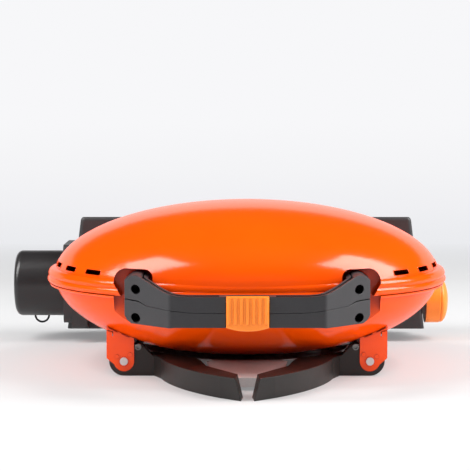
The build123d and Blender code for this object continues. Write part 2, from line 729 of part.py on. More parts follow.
def handle_seam(z_shift):
    """Line between the halves, from the middle of the handle to its end."""
    return Polyline(
        (0, HANDLE_SEAM_Z + z_shift),
        (HANDLE_KINK_X - 23, HANDLE_SEAM_Z + 0.6 + z_shift),
        (HANDLE_KINK_X, HANDLE_SEAM_Z + 3 + z_shift),
        (ARM_INNER_X, HANDLE_SEAM_Z + 3.6 + z_shift),
        (ARM_INNER_X + 9, HINGE_Z + HANDLE_SEAM_FLARE * z_shift),
        (HANDLE_END_X + 1, HINGE_Z + HANDLE_SEAM_FLARE * z_shift),
    )


def upper_outline():
    seam = handle_seam(SEAM_GAP / 2)
    flat = Line((0, HANDLE_TOP_Z), (HANDLE_KINK_X - 20, HANDLE_TOP_Z))
    rise = TangentArc(flat @ 1, (HANDLE_KINK_X + 16, HANDLE_TOP_Z + 8), tangent=(1, 0))
    slope = Line(rise @ 1, (HANDLE_APEX_X - 6, HANDLE_APEX_Z - 1.2))
    crest = ThreePointArc(
        slope @ 1, (HANDLE_APEX_X, HANDLE_APEX_Z), (HANDLE_END_X - 7, HANDLE_APEX_Z - 1.8)
    )
    Polyline(crest @ 1, (HANDLE_END_X + 1, HANDLE_APEX_Z - 8), seam @ 1)


def lower_outline():
    seam = handle_seam(-SEAM_GAP / 2)
    flat = Line((0, HANDLE_BOTTOM_Z), (HANDLE_KINK_X - 7, HANDLE_BOTTOM_Z))
    Polyline(
        flat @ 1,
        (HANDLE_END_X - 8, HANDLE_LUG_BOTTOM_Z),
        (HANDLE_END_X - 3, HANDLE_BOTTOM_Z),
        (HANDLE_END_X + 1, HANDLE_BOTTOM_Z + 6),
        seam @ 1,
    )


def screw_pockets(z):
    """Clearance holes and head recesses of one half's two screws."""
    with BuildPart() as holes:
        with BuildSketch(front_plane(POCKET_BACK_Y)):
            with GridLocations(2 * HANDLE_SCREW_X, 0, 2, 1):
                with Locations((0, z)):
                    Circle(SCREW_RADIUS + SCREW_CLEARANCE)
        extrude(amount=BODY_HALF_DEPTH)
        with BuildSketch(front_plane(SCREW_HEAD_Y + SCREW_HEAD_LENGTH)):
            with GridLocations(2 * HANDLE_SCREW_X, 0, 2, 1):
                with Locations((0, z)):
                    Circle(SCREW_HEAD_RADIUS + SCREW_CLEARANCE)
        extrude(amount=BODY_HALF_DEPTH)
    return holes.part


def latch_recess():
    """Flat seat of the latch across the front of the handle."""
    with BuildPart() as seat:
        with BuildSketch(Plane.XY.offset(LATCH_LIP_Z)):
            with Locations((0, LATCH_BACK_Y + FIT_GAP - LATCH_THICKNESS)):
                Rectangle(2 * RECESS_HALF, 2 * LATCH_THICKNESS)
        extrude(amount=HANDLE_APEX_Z - LATCH_LIP_Z)
    return seat.part


with BuildPart() as upper_handle:
    add(handle_half(upper_outline))
    add(handle_channel(), mode=Mode.SUBTRACT)
    add(screw_pockets(UPPER_SCREW_Z), mode=Mode.SUBTRACT)
    add(latch_recess(), mode=Mode.SUBTRACT)
    with BuildSketch(side_plane(0)):
        with Locations((LATCH_AXIS_Y, LATCH_AXIS_Z)):
            Circle(LATCH_BARREL_RADIUS + 2 * FIT_GAP)
    extrude(amount=RECESS_HALF, both=True, mode=Mode.SUBTRACT)
    with BuildSketch(side_plane(0)):
        with Locations((LATCH_AXIS_Y, LATCH_AXIS_Z)):
            Circle(LATCH_PIN_RADIUS + PIN_CLEARANCE)
    extrude(amount=RECESS_HALF + LATCH_PIN_GRIP + FIT_GAP, both=True, mode=Mode.SUBTRACT)
finish(upper_handle, "upper_handle")

with BuildPart() as lower_handle:
    add(handle_half(lower_outline))
    add(screw_pockets(LOWER_SCREW_Z), mode=Mode.SUBTRACT)
    add(latch_recess(), mode=Mode.SUBTRACT)
finish(lower_handle, "lower_handle")


def handle_screws(z):
    """Two screws with their nuts behind the pocket's back wall."""
    nut_y = POCKET_BACK_Y + SHELL_WALL
    with BuildPart() as screws:
        for x in (-HANDLE_SCREW_X, HANDLE_SCREW_X):
            add(rod_y(x, z, SCREW_HEAD_RADIUS, SCREW_HEAD_Y, SCREW_HEAD_Y + SCREW_HEAD_LENGTH))
            add(rod_y(x, z, SCREW_RADIUS, SCREW_HEAD_Y, nut_y + SCREW_NUT_LENGTH))
            with BuildSketch(front_plane(nut_y)):
                with Locations((x, z)):
                    RegularPolygon(SCREW_NUT_RADIUS, 6)
            extrude(amount=-SCREW_NUT_LENGTH)
        recess = front_plane(SCREW_HEAD_Y)
        with BuildSketch(recess):
            with Locations((-HANDLE_SCREW_X, z), (HANDLE_SCREW_X, z)):
                RegularPolygon(SCREW_RADIUS, 6)
        extrude(amount=-SCREW_HEAD_LENGTH / 2, mode=Mode.SUBTRACT)
    return screws


finish(handle_screws(UPPER_SCREW_Z), "upper_handle_screws")
finish(handle_screws(LOWER_SCREW_Z), "lower_handle_screws")

with BuildPart() as latch:
    with BuildSketch(front_plane(LATCH_BACK_Y)):
        with BuildLine():
            lip = ThreePointArc(
                (-LATCH_WIDTH / 2, HANDLE_BOTTOM_Z),
                (0, LATCH_LIP_Z),
                (LATCH_WIDTH / 2, HANDLE_BOTTOM_Z),
            )
            Polyline(
                lip @ 1,
                (LATCH_WIDTH / 2, HANDLE_TOP_Z),
                (-LATCH_WIDTH / 2, HANDLE_TOP_Z),
                lip @ 0,
            )
        make_face()
    extrude(amount=LATCH_THICKNESS)
    front_edges = latch.faces().sort_by(Axis.Y)[0].edges()
    fillet(front_edges, LATCH_THICKNESS / 4)
    # hook that reaches back under the lower half
    with BuildSketch(front_plane(LATCH_BACK_Y + LATCH_LIP_DEPTH)):
        with BuildLine():
            hook = ThreePointArc(
                (-LATCH_WIDTH / 2 + 2, HANDLE_BOTTOM_Z - FIT_GAP),
                (0, LATCH_LIP_Z + 0.4),
                (LATCH_WIDTH / 2 - 2, HANDLE_BOTTOM_Z - FIT_GAP),
            )
            Line(hook @ 1, hook @ 0)
        make_face()
    extrude(amount=LATCH_LIP_DEPTH + LATCH_THICKNESS / 2)
    # barrel on the pin
    with BuildSketch(side_plane(0)):
        with Locations((LATCH_AXIS_Y, LATCH_AXIS_Z)):
            Circle(LATCH_BARREL_RADIUS)
    extrude(amount=LATCH_WIDTH / 2 - 0.2, both=True)
    # grip ribs
    rib_foot_z = HANDLE_BOTTOM_Z + LATCH_RIB_FOOT
    with BuildSketch(Plane.XY.offset(rib_foot_z)):
        with Locations((0, LATCH_FRONT_Y + LATCH_RIB_RADIUS - LATCH_RIB_HEIGHT)):
            with GridLocations(LATCH_WIDTH / LATCH_RIBS, 0, LATCH_RIBS, 1):
                Circle(LATCH_RIB_RADIUS)
    extrude(amount=HANDLE_TOP_Z - rib_foot_z)
    with BuildSketch(side_plane(0)):
        with Locations((LATCH_AXIS_Y, LATCH_AXIS_Z)):
            Circle(LATCH_PIN_RADIUS + PIN_CLEARANCE)
    extrude(amount=LATCH_WIDTH, both=True, mode=Mode.SUBTRACT)
finish(latch, "latch")

with BuildPart() as latch_pin:
    pin_reach = RECESS_HALF + LATCH_PIN_GRIP
    add(rod_x(LATCH_AXIS_Y, LATCH_AXIS_Z, LATCH_PIN_RADIUS, -pin_reach, pin_reach))
finish(latch_pin, "latch_pin")

# ---------------------------------------------------------------- leg brackets
BOWL_CUT = ellipsoid(BOWL_DROP, FIT_GAP)
SADDLE_SKIN = ellipsoid(BOWL_DROP, FIT_GAP + BRACKET_SHEET)


def bracket_range():
    """Block over one bracket, from the ear to the back of the web."""
    width = BRACKET_OUTER_X - BRACKET_INNER_X
    depth = BRACKET_FRONT_Y - BRACKET_BACK_Y
    with BuildPart() as block:
        with BuildSketch(Plane.XY):
            with Locations((BRACKET_INNER_X + width / 2, -BRACKET_BACK_Y - depth / 2)):
                Rectangle(width, depth)
        extrude(amount=RIM_Z)
    return block.part


def ear_gaps():
    """Gaps between the ear's top edge and the bowl, between the welds."""
    with BuildPart() as gaps:
        for start, end in EAR_GAPS:
            with BuildSketch(front_plane(-BRACKET_FRONT_Y + BRACKET_SHEET)):
                with Locations((PIVOT_X + (start + end) / 2, RIM_Z / 2)):
                    Rectangle(end - start, RIM_Z)
            extrude(amount=BRACKET_SHEET + EAR_GAP_HEIGHT)
        add(ellipsoid(BOWL_DROP, EAR_GAP_HEIGHT), mode=Mode.INTERSECT)
    return gaps.part


def front_right_bracket():
    """Ear in front of the leg's hub, web outside it and saddle on the bowl."""
    ear_radius = PIVOT_X - BRACKET_INNER_X
    with BuildPart() as bracket:
        with BuildSketch(front_plane(-BRACKET_FRONT_Y + BRACKET_SHEET)):
            with BuildLine():
                bottom = ThreePointArc(
                    (BRACKET_INNER_X, PIVOT_Z),
                    (PIVOT_X, PIVOT_Z - ear_radius),
                    (PIVOT_X + ear_radius * EAR_END_ACROSS, PIVOT_Z - ear_radius * EAR_END_DOWN),
                )
                Polyline(
                    bottom @ 1,
                    (BRACKET_OUTER_X, BRACKET_WEB_Z),
                    (BRACKET_OUTER_X, SEAM_Z),
                    (BRACKET_INNER_X, SEAM_Z),
                    bottom @ 0,
                )
            make_face()
        extrude(amount=BRACKET_SHEET)
        with BuildSketch(side_plane(BRACKET_OUTER_X)):
            with BuildLine():
                Polyline(
                    (-BRACKET_FRONT_Y, BRACKET_WEB_Z),
                    (-BRACKET_FRONT_Y + BRACKET_SLANT, BRACKET_WEB_Z),
                    (-BRACKET_BACK_Y, BRACKET_WEB_Z + BRACKET_SLANT),
                    (-BRACKET_BACK_Y, SEAM_Z),
                    (-BRACKET_FRONT_Y, SEAM_Z),
                    close=True,
                )
            make_face()
        extrude(amount=-BRACKET_SHEET)
        add(SADDLE_SKIN & bracket_range())
        add(BOWL_CUT, mode=Mode.SUBTRACT)
        add(ear_gaps(), mode=Mode.SUBTRACT)
        with BuildSketch(front_plane(-BRACKET_FRONT_Y + BRACKET_SHEET)):
            with BuildLine():
                bend_x = BRACKET_OUTER_X - RELIEF_REACH
                top_z = bowl_z(BRACKET_OUTER_X, BRACKET_FRONT_Y) - RELIEF_BELOW_BOWL
                Polyline(
                    (BRACKET_OUTER_X + 1, top_z + RELIEF_WIDTH),
                    (bend_x - RELIEF_WIDTH, top_z - RELIEF_WIDTH / 2),
                    (bend_x - RELIEF_WIDTH, top_z - RELIEF_BELOW_BEND),
                    (bend_x, top_z - RELIEF_BELOW_BEND),
                    (bend_x, top_z - RELIEF_WIDTH),
                    (BRACKET_OUTER_X + 1, top_z),
                    close=True,
                )
            make_face()
        extrude(amount=BRACKET_SHEET, mode=Mode.SUBTRACT)
        for dx, dz in DIMPLES:
            face_y = -BRACKET_FRONT_Y
            add(rod_y(PIVOT_X + dx, PIVOT_Z + dz, DIMPLE_RADIUS, face_y - DIMPLE_HEIGHT, face_y))
        with BuildSketch(front_plane(0)):
            with Locations((PIVOT_X, PIVOT_Z)):
                Circle(PIVOT_RADIUS + PIN_CLEARANCE)
        extrude(amount=BODY_HALF_DEPTH, mode=Mode.SUBTRACT)
    return bracket.part


bracket = front_right_bracket()
for name, flips in {
    "front_right_bracket": [],
    "front_left_bracket": [Plane.YZ],
    "rear_right_bracket": [Plane.XZ],
    "rear_left_bracket": [Plane.YZ, Plane.XZ],
}.items():
    piece = bracket
    for plane in flips:
        piece = mirror(piece, about=plane, mode=Mode.PRIVATE)
    with BuildPart() as one_bracket:
        add(piece)
    finish(one_bracket, name)

with BuildPart() as pivot_rivets:
    for side in (-1, 1):
        for end in (-1, 1):
            ear_y = end * BRACKET_FRONT_Y
            x = side * PIVOT_X
            add(rod_y(x, PIVOT_Z, RIVET_HEAD_RADIUS, ear_y, ear_y + end * RIVET_HEAD_LENGTH))
            add(rod_y(x, PIVOT_Z, PIVOT_RADIUS, ear_y, end * (HUB_BACK_Y + 4)))
finish(pivot_rivets, "pivot_rivets")

# ---------------------------------------------------------------- folding legs


def tip_plane(y, slant_y):
    """Plane of a leg's foot, which lies level once the leg is down."""
    lean = tan(radians(LEG_DEPLOYED_DEG - 90))
    normal = Vector(1, slant_y, -lean)
    return Plane(origin=(LEG_TIP_X, y, 0), z_dir=normal)


def arm_point(share):
    """Point of the front arm's plan."""
    return (share[0] * PIVOT_X, -share[1] * BODY_HALF_DEPTH)


def right_leg_frame():
    """Right leg: hubs on the pivots, a bar between them and an arm at each end."""
    with BuildPart() as leg:
        # front arm, under the handle
        with BuildSketch(Plane.XY):
            with BuildLine():
                edge = Polyline(
                    (PIVOT_X, -HUB_FRONT_Y), arm_point(ARM_ELBOW_SHARE), arm_point(ARM_SHOULDER_SHARE)
                )
                bulge = ThreePointArc(edge @ 1, arm_point(ARM_BULGE_SHARE), arm_point(ARM_TOE_SHARE))
                Polyline(
                    bulge @ 1,
                    arm_point((0, ARM_OUTER_END_SHARE)),
                    arm_point((0, ARM_INNER_END_SHARE)),
                    *(arm_point(share) for share in ARM_INNER_SHARES),
                    (ARM_ROOT_SHARE * PIVOT_X, -HUB_BACK_Y),
                    (PIVOT_X, -HUB_BACK_Y),
                    edge @ 0,
                )
            make_face()
        extrude(amount=LEG_HEIGHT)
        slant = LEG_TIP_PLAN_SLANT / (LEG_TIP_INNER_Y - LEG_TIP_OUTER_Y)
        split(bisect_by=tip_plane(LEG_TIP_INNER_Y, slant), keep=Keep.TOP)
        add(rear_arm())
        with BuildSketch(Plane.XY):
            Circle(LEG_ARC_RADIUS)
        extrude(amount=LEG_HEIGHT, mode=Mode.SUBTRACT)
        # bar between the hubs
        bar_width = LEG_BAR_OUTER_X - LEG_BAR_INNER_X
        with BuildSketch(front_plane(HUB_FRONT_Y)):
            with Locations((LEG_BAR_INNER_X + bar_width / 2, (LEG_BAR_Z + LEG_HEIGHT) / 2)):
                RectangleRounded(bar_width, LEG_HEIGHT - LEG_BAR_Z, LEG_BAR_Z)
        extrude(amount=2 * HUB_FRONT_Y)
        # hubs round the pivots
        with BuildSketch(front_plane(HUB_FRONT_Y)):
            with Locations((PIVOT_X, PIVOT_Z)):
                Circle(HUB_RADIUS)
        extrude(amount=HUB_FRONT_Y - HUB_BACK_Y)
        with BuildSketch(front_plane(-HUB_BACK_Y)):
            with Locations((PIVOT_X, PIVOT_Z)):
                Circle(HUB_RADIUS)
        extrude(amount=HUB_FRONT_Y - HUB_BACK_Y)
        # bosses of the stop pins
        for end in (-1, 1):
            boss_y = end * (HUB_FRONT_Y + STOP_BOSS_BACK_Y) / 2
            with BuildSketch(front_plane(boss_y)):
                with BuildLine():
                    Polyline(
                        (STOP_PIN_X + STOP_BOSS_HALF, LEG_HEIGHT - LEG_BAR_Z),
                        (STOP_PIN_X + STOP_BOSS_HALF, STOP_PIN_Z),
                        (STOP_PIN_X + STOP_BOSS_HALF / 2, STOP_PIN_Z + STOP_BOSS_RISE),
                        (STOP_PIN_X - STOP_BOSS_HALF / 2, STOP_PIN_Z + STOP_BOSS_RISE),
                        (STOP_PIN_X - STOP_BOSS_FOOT, LEG_HEIGHT),
                        (STOP_PIN_X - STOP_BOSS_FOOT, LEG_HEIGHT - LEG_BAR_Z),
                        close=True,
                    )
                make_face()
            extrude(amount=(HUB_FRONT_Y - STOP_BOSS_BACK_Y) / 2, both=True)
        with BuildSketch(front_plane(HUB_FRONT_Y)):
            with Locations((PIVOT_X, PIVOT_Z)):
                Circle(PIVOT_RADIUS + PIN_CLEARANCE)
        extrude(amount=2 * HUB_FRONT_Y, mode=Mode.SUBTRACT)
        with BuildSketch(front_plane(HUB_FRONT_Y)):
            with Locations((STOP_PIN_X, STOP_PIN_Z)):
                Circle(STOP_PIN_RADIUS / 2 + PIN_CLEARANCE)
        extrude(amount=2 * HUB_FRONT_Y, mode=Mode.SUBTRACT)
    return leg.part


def rear_arm():
    """Shorter arm that follows the tray round the back."""
    with BuildPart() as arm:
        with BuildSketch(Plane.XY):
            Circle(LEG_REAR_RADIUS)
            with Locations((LEG_REAR_RADIUS / 2, LEG_REAR_RADIUS / 2 + HUB_BACK_Y)):
                Rectangle(LEG_REAR_RADIUS, LEG_REAR_RADIUS, mode=Mode.INTERSECT)
            with Locations(((LEG_BAR_INNER_X + PIVOT_X) / 2, (HUB_BACK_Y + HUB_FRONT_Y) / 2)):
                Rectangle(PIVOT_X - LEG_BAR_INNER_X, HUB_FRONT_Y - HUB_BACK_Y)
        extrude(amount=LEG_HEIGHT)
        split(bisect_by=tip_plane(LEG_REAR_RADIUS, 0), keep=Keep.TOP)
    return arm.part


leg_frame = right_leg_frame()
with BuildPart() as right_leg:
    add(leg_frame)
finish(right_leg, "right_leg")
with BuildPart() as left_leg:
    add(mirror(leg_frame, about=Plane.YZ, mode=Mode.PRIVATE))
finish(left_leg, "left_leg")

for side, name in ((-1, "left_leg_stop_pins"), (1, "right_leg_stop_pins")):
    with BuildPart() as stop_pins:
        for end in (-1, 1):
            x = side * STOP_PIN_X
            head_y = end * (HUB_FRONT_Y + FIT_GAP)
            tail_y = end * (STOP_BOSS_BACK_Y + 1)
            add(rod_y(x, STOP_PIN_Z, STOP_PIN_RADIUS / 2, tail_y, head_y))
            end_y = end * (BRACKET_FRONT_Y + 2)
            add(rod_y(x, STOP_PIN_Z, STOP_PIN_RADIUS, head_y, end_y))
            hollow = rod_y(x, STOP_PIN_Z, STOP_PIN_HOLLOW, head_y + end * STOP_PIN_HOLLOW / 2, end_y)
            add(hollow, mode=Mode.SUBTRACT)
    finish(stop_pins, name)

# ---------------------------------------------------------------- grease tray
with BuildPart() as tray_tab:
    tab_back_y = -TRAY_FLOOR_RADIUS - TRAY_TAB_OVERLAP
    tab_bend_y = -TRAY_RIM_RADIUS - TRAY_TAB_BEND
    root_half, wide_half, middle_half, front_half = (PIVOT_X * h for h in TRAY_TAB_SHARES)
    tab_back_z = TRAY_RIM_Z
    with BuildSketch(side_plane(0)):
        with BuildLine():
            Polyline(
                (tab_back_y, tab_back_z - TRAY_SHEET),
                (tab_back_y, tab_back_z),
                (tab_bend_y, tab_back_z),
                (TRAY_TAB_FRONT_Y, TRAY_TAB_FRONT_Z),
                (TRAY_TAB_FRONT_Y, TRAY_TAB_LIP_Z),
                (TRAY_TAB_FRONT_Y + TRAY_SHEET, TRAY_TAB_LIP_Z),
                (TRAY_TAB_FRONT_Y + TRAY_SHEET, TRAY_TAB_FRONT_Z - TRAY_SHEET),
                (tab_bend_y, tab_back_z - TRAY_SHEET),
                close=True,
            )
        make_face()
    extrude(amount=LEG_BAR_INNER_X, both=True)
    with BuildSketch(Plane.XY):
        with BuildLine():
            Polyline(
                (0, tab_back_y),
                (root_half, tab_back_y),
                (wide_half, tab_bend_y),
                (middle_half, TRAY_TAB_FRONT_Y + TRAY_TAB_TAPER),
                (front_half, TRAY_TAB_FRONT_Y),
                (0, TRAY_TAB_FRONT_Y),
            )
            mirror(about=Plane.YZ)
        make_face()
    extrude(amount=RIM_Z, mode=Mode.INTERSECT)
    with BuildSketch(Plane.XY):
        Circle(TRAY_RIM_RADIUS - TRAY_RIM_WIDTH)
    extrude(amount=RIM_Z, mode=Mode.SUBTRACT)

with BuildPart() as grease_tray:
    wall_x = TRAY_RIM_RADIUS - TRAY_RIM_WIDTH
    with BuildSketch(Plane.XZ):
        with BuildLine():
            Polyline(
                (0, TRAY_FLOOR_Z),
                (TRAY_FLOOR_RADIUS, TRAY_FLOOR_Z),
                (wall_x + TRAY_SHEET, TRAY_RIM_Z - TRAY_SHEET),
                (TRAY_RIM_RADIUS, TRAY_RIM_Z - TRAY_SHEET),
                (TRAY_RIM_RADIUS, TRAY_RIM_Z),
                (wall_x, TRAY_RIM_Z),
                (TRAY_FLOOR_RADIUS - TRAY_SHEET, TRAY_FLOOR_Z + TRAY_SHEET),
                (0, TRAY_FLOOR_Z + TRAY_SHEET),
                close=True,
            )
        make_face()
    revolve(axis=Axis.Z)
    add(tray_tab.part)
finish(grease_tray, "grease_tray")

with BuildPart() as tray_clips:
    clip_x = TRAY_RIM_RADIUS + FIT_GAP
    with BuildSketch(Plane.XY.offset(TRAY_CLIP_BOTTOM_Z)):
        with PolarLocations(clip_x + TRAY_CLIP_SHEET / 2, 3, angular_range=270):
            Rectangle(TRAY_CLIP_SHEET, TRAY_CLIP_WIDTH)
    extrude(amount=RIM_Z - TRAY_CLIP_BOTTOM_Z)
    add(BOWL_CUT, mode=Mode.SUBTRACT)
finish(tray_clips, "tray_clips")

# ---------------------------------------------------------------- cooking grate
grate_half_width = bowl_half_width(GRATE_Z, SHELL_WALL) - FIT_GAP
grate_half_depth = grate_half_width * DEPTH_RATIO
grate_notches = pocket_block(SHELL_WALL + SCREW_NUT_LENGTH + 1)


def grate_slots(side):
    """Centres and lengths of the slots in one half of the grate."""
    first = GRATE_SPLIT / 2 + GRATE_RIM + GRATE_SLOT / 2
    count = int((grate_half_width - GRATE_RIM - first) / GRATE_PITCH) + 1
    for i in range(count):
        x = first + i * GRATE_PITCH
        reach = grate_half_depth * sqrt(1 - ((x + GRATE_SLOT) / grate_half_width) ** 2)
        length = reach - 1.5 * GRATE_RIM
        if length > GRATE_PITCH:
            yield side * x, length


for side, name in ((-1, "left_cooking_grate"), (1, "right_cooking_grate")):
    with BuildPart() as grate:
        with BuildSketch(Plane.XY.offset(GRATE_Z)):
            Ellipse(grate_half_width, grate_half_depth)
            middle = side * (grate_half_width + GRATE_SPLIT) / 2
            with Locations((middle, 0)):
                Rectangle(grate_half_width, 2 * grate_half_depth, mode=Mode.INTERSECT)
            for x, length in grate_slots(side):
                with Locations((x, GRATE_RIM / 4 + length / 2), (x, -GRATE_RIM / 4 - length / 2)):
                    Rectangle(GRATE_SLOT, length, mode=Mode.SUBTRACT)
        extrude(amount=GRATE_THICKNESS)
        add(grate_notches, mode=Mode.SUBTRACT)
    finish(grate, name)

# ---------------------------------------------------------------- burner and gas train
with BuildPart() as burner_tube:
    with BuildLine(Plane.XY.offset(VALVE_Z)) as burner_line:
        FilletPolyline(
            (0, BURNER_HALF_DEPTH),
            (BURNER_HALF_WIDTH, BURNER_HALF_DEPTH),
            (BURNER_HALF_WIDTH, -BURNER_HALF_DEPTH),
            (0, -BURNER_HALF_DEPTH),
            radius=BURNER_CORNER,
        )
        mirror(about=Plane.YZ)
    with BuildSketch(side_plane(0)):
        with Locations((BURNER_HALF_DEPTH, VALVE_Z)):
            Circle(BURNER_TUBE_RADIUS)
    sweep(path=burner_line.wires()[0])
    add(rod_y(FEED_X, VALVE_Z, FEED_RADIUS, BURNER_HALF_DEPTH, FEED_END_Y))
    # foot on the floor of the bowl
    foot_z = BOWL_FLOOR_Z + SHELL_WALL + FIT_GAP
    with BuildSketch(Plane.XY.offset(foot_z)):
        with Locations((-BURNER_HALF_WIDTH + 4, 0)):
            Rectangle(4, 14)
    extrude(amount=VALVE_Z - foot_z)
finish(burner_tube, "burner_tube")

with BuildPart() as venturi_tube:
    with BuildLine(Plane.XY.offset(VALVE_Z)) as venturi_line:
        FilletPolyline(
            (FEED_X, FEED_END_Y),
            (FEED_X, GAS_Y),
            (VALVE_BACK_X, GAS_Y),
            radius=VENTURI_RADIUS + 4,
        )
    with BuildSketch(front_plane(FEED_END_Y)):
        with Locations((FEED_X, VALVE_Z)):
            Circle(VENTURI_RADIUS)
            Circle(VENTURI_RADIUS - VENTURI_WALL, mode=Mode.SUBTRACT)
    sweep(path=venturi_line.wires()[0])
finish(venturi_tube, "venturi_tube")

with BuildPart() as igniter_electrode:
    ceramic_end_y = bowl_y(ELECTRODE_X, ELECTRODE_Z) - 36
    tip_y = BURNER_HALF_DEPTH + BURNER_TUBE_RADIUS + 4
    back_y = bowl_y(ELECTRODE_X, ELECTRODE_Z) + 14
    add(rod_y(ELECTRODE_X, ELECTRODE_Z, ELECTRODE_RADIUS, ceramic_end_y, back_y))
    add(rod_y(ELECTRODE_X, ELECTRODE_Z, ELECTRODE_TIP_RADIUS, tip_y, ceramic_end_y))
finish(igniter_electrode, "igniter_electrode")

with BuildPart() as valve_body:
    add(rod_x(GAS_Y, VALVE_Z, VALVE_RADIUS, VALVE_BACK_X, VALVE_FRONT_X))
    port_x = (VALVE_BACK_X + VALVE_FRONT_X) / 2
    add(rod_y(port_x, VALVE_Z, PORT_RADIUS, GAS_Y, GAS_Y + VALVE_RADIUS + PORT_LENGTH))
    bore = rod_x(GAS_Y, VALVE_Z, STEM_RADIUS + PIN_CLEARANCE, STEM_BACK_X - 10, BEZEL_FACE_X)
    add(bore, mode=Mode.SUBTRACT)
finish(valve_body, "valve_body")

with BuildPart() as regulator_body:
    regulator_outer_x = COLLAR_OUTER_X - INLET_FLANGE_THICKNESS / 2
    add(rod_x(GAS_Y, REGULATOR_Z, REGULATOR_RADIUS - 6, regulator_outer_x, COLLAR_INNER_X))
    add(rod_x(GAS_Y, REGULATOR_Z, REGULATOR_RADIUS, COLLAR_INNER_X, REGULATOR_INNER_X))
    with BuildSketch(side_plane(REGULATOR_INNER_X)):
        with Locations((GAS_Y, REGULATOR_Z)):
            RegularPolygon(REGULATOR_RADIUS / 2, 6)
    extrude(amount=PORT_LENGTH)
finish(regulator_body, "regulator_body")

with BuildPart() as gas_tube:
    with BuildLine() as gas_line:
        FilletPolyline(
            (REGULATOR_INNER_X + PORT_LENGTH, GAS_Y, REGULATOR_Z),
            (REGULATOR_INNER_X + GAS_TUBE_RUN, GAS_Y, REGULATOR_Z),
            (REGULATOR_INNER_X + 2 * GAS_TUBE_RUN, GAS_TUBE_Y, GAS_TUBE_Z),
            (port_x - GAS_TUBE_END_RUN, GAS_TUBE_Y, GAS_TUBE_Z),
            (port_x, GAS_TUBE_Y, VALVE_Z),
            (port_x, GAS_Y + VALVE_RADIUS + PORT_LENGTH, VALVE_Z),
            radius=2.4 * GAS_TUBE_RADIUS,
        )
    with BuildSketch(side_plane(REGULATOR_INNER_X + PORT_LENGTH)):
        with Locations((GAS_Y, REGULATOR_Z)):
            Circle(GAS_TUBE_RADIUS)
    sweep(path=gas_line.wires()[0])
finish(gas_tube, "gas_tube")

# ---------------------------------------------------------------- rear housing
BODY_CUT = ellipsoid(BOWL_DROP, BODY_CLEARANCE)
LID_CUT = ellipsoid(LID_RISE, BODY_CLEARANCE)


def housing_block(inset, z_low, z_high, back_drop=0.0, top_corner=0.0):
    """Tapered block of the housing between two heights, drawn in from its outside."""
    low = housing_half(z_low) - inset
    high = housing_half(z_high) - inset
    with BuildPart() as block:
        with BuildSketch(front_plane(HOUSING_BACK_Y - inset)) as outline:
            with BuildLine():
                Polyline((-low, z_low), (low, z_low), (high, z_high), (-high, z_high), close=True)
            make_face()
            if top_corner:
                fillet(outline.vertices().group_by(Axis.Y)[-1], top_corner)
        extrude(amount=HOUSING_BACK_Y - HOUSING_FRONT_Y - 2 * inset)
        walls = block.edges().filter_by(GeomType.LINE)
        fillet(walls.filter_by(lambda e: abs((e @ 1 - e @ 0).Z) > 1), HOUSING_CORNER - inset)
        if back_drop:
            depth = HOUSING_BACK_Y - HOUSING_FRONT_Y
            roof = Plane(origin=(0, HOUSING_FRONT_Y, z_high), z_dir=(0, back_drop, depth))
            split(bisect_by=roof, keep=Keep.BOTTOM)
    return block.part


def bead_room(z_low, z_high):
    """Room for the rim's bead and flange between two heights."""
    side_reach = BODY_HALF_WIDTH + BEAD_REACH + BODY_CLEARANCE
    back_reach = BODY_HALF_DEPTH + BEAD_FRONT_REACH + BODY_CLEARANCE
    with BuildPart() as room:
        with BuildSketch(Plane.XY.offset(z_low)):
            Ellipse(side_reach, back_reach)
        extrude(amount=z_high - z_low)
    return room.part


def knuckle_rods(radius, of_lid, growth=0.0):
    """Rods of one half's knuckles on both hinges: one knuckle on the lid between two below."""
    pitch = KNUCKLE_LENGTH + KNUCKLE_GAP
    with BuildPart() as rods:
        for hinge_x in (-HINGE_X, HINGE_X):
            for step in (0,) if of_lid else (-1, 1):
                start = hinge_x + step * pitch - KNUCKLE_LENGTH / 2
                rod = rod_x(
                    HOUSING_BACK_Y,
                    HINGE_Z,
                    radius,
                    start - growth,
                    start + KNUCKLE_LENGTH + growth,
                )
                add(rod)
    return rods.part


def pin_holes():
    """Bores of both hinge pins."""
    reach = PIN_HALF_LENGTH + FIT_GAP
    radius = HINGE_PIN_RADIUS + PIN_CLEARANCE
    with BuildPart() as bores:
        for x in (-HINGE_X, HINGE_X):
            add(rod_x(HOUSING_BACK_Y, HINGE_Z, radius, x - reach, x + reach))
    return bores.part


def boss_pair(z, shell_y):
    """Two bosses that run from the housing's back wall to the body."""
    with BuildPart() as bosses:
        for x in (-HOUSING_BOSS_X, HOUSING_BOSS_X):
            back = HOUSING_BACK_Y - HOUSING_WALL / 2
            add(rod_y(x, z, HOUSING_BOSS_RADIUS, shell_y - 2, back))
    return bosses.part


def boss_screws(z, shell_y, growth=0.0):
    """Two screws from inside a shell into the bosses, or the holes they need."""
    with BuildPart() as screws:
        for x in (-HOUSING_BOSS_X, HOUSING_BOSS_X):
            face_y = shell_y(x, z) - 2 * SHELL_WALL - SCREW_HEAD_RADIUS
            tail_y = face_y + HOUSING_SCREW_LENGTH + growth
            add(rod_y(x, z, SCREW_HEAD_RADIUS + growth, face_y - SCREW_HEAD_LENGTH, face_y))
            add(rod_y(x, z, SCREW_RADIUS + growth, face_y, tail_y))
    return screws.part


knuckle_room = KNUCKLE_RADIUS + FIT_GAP

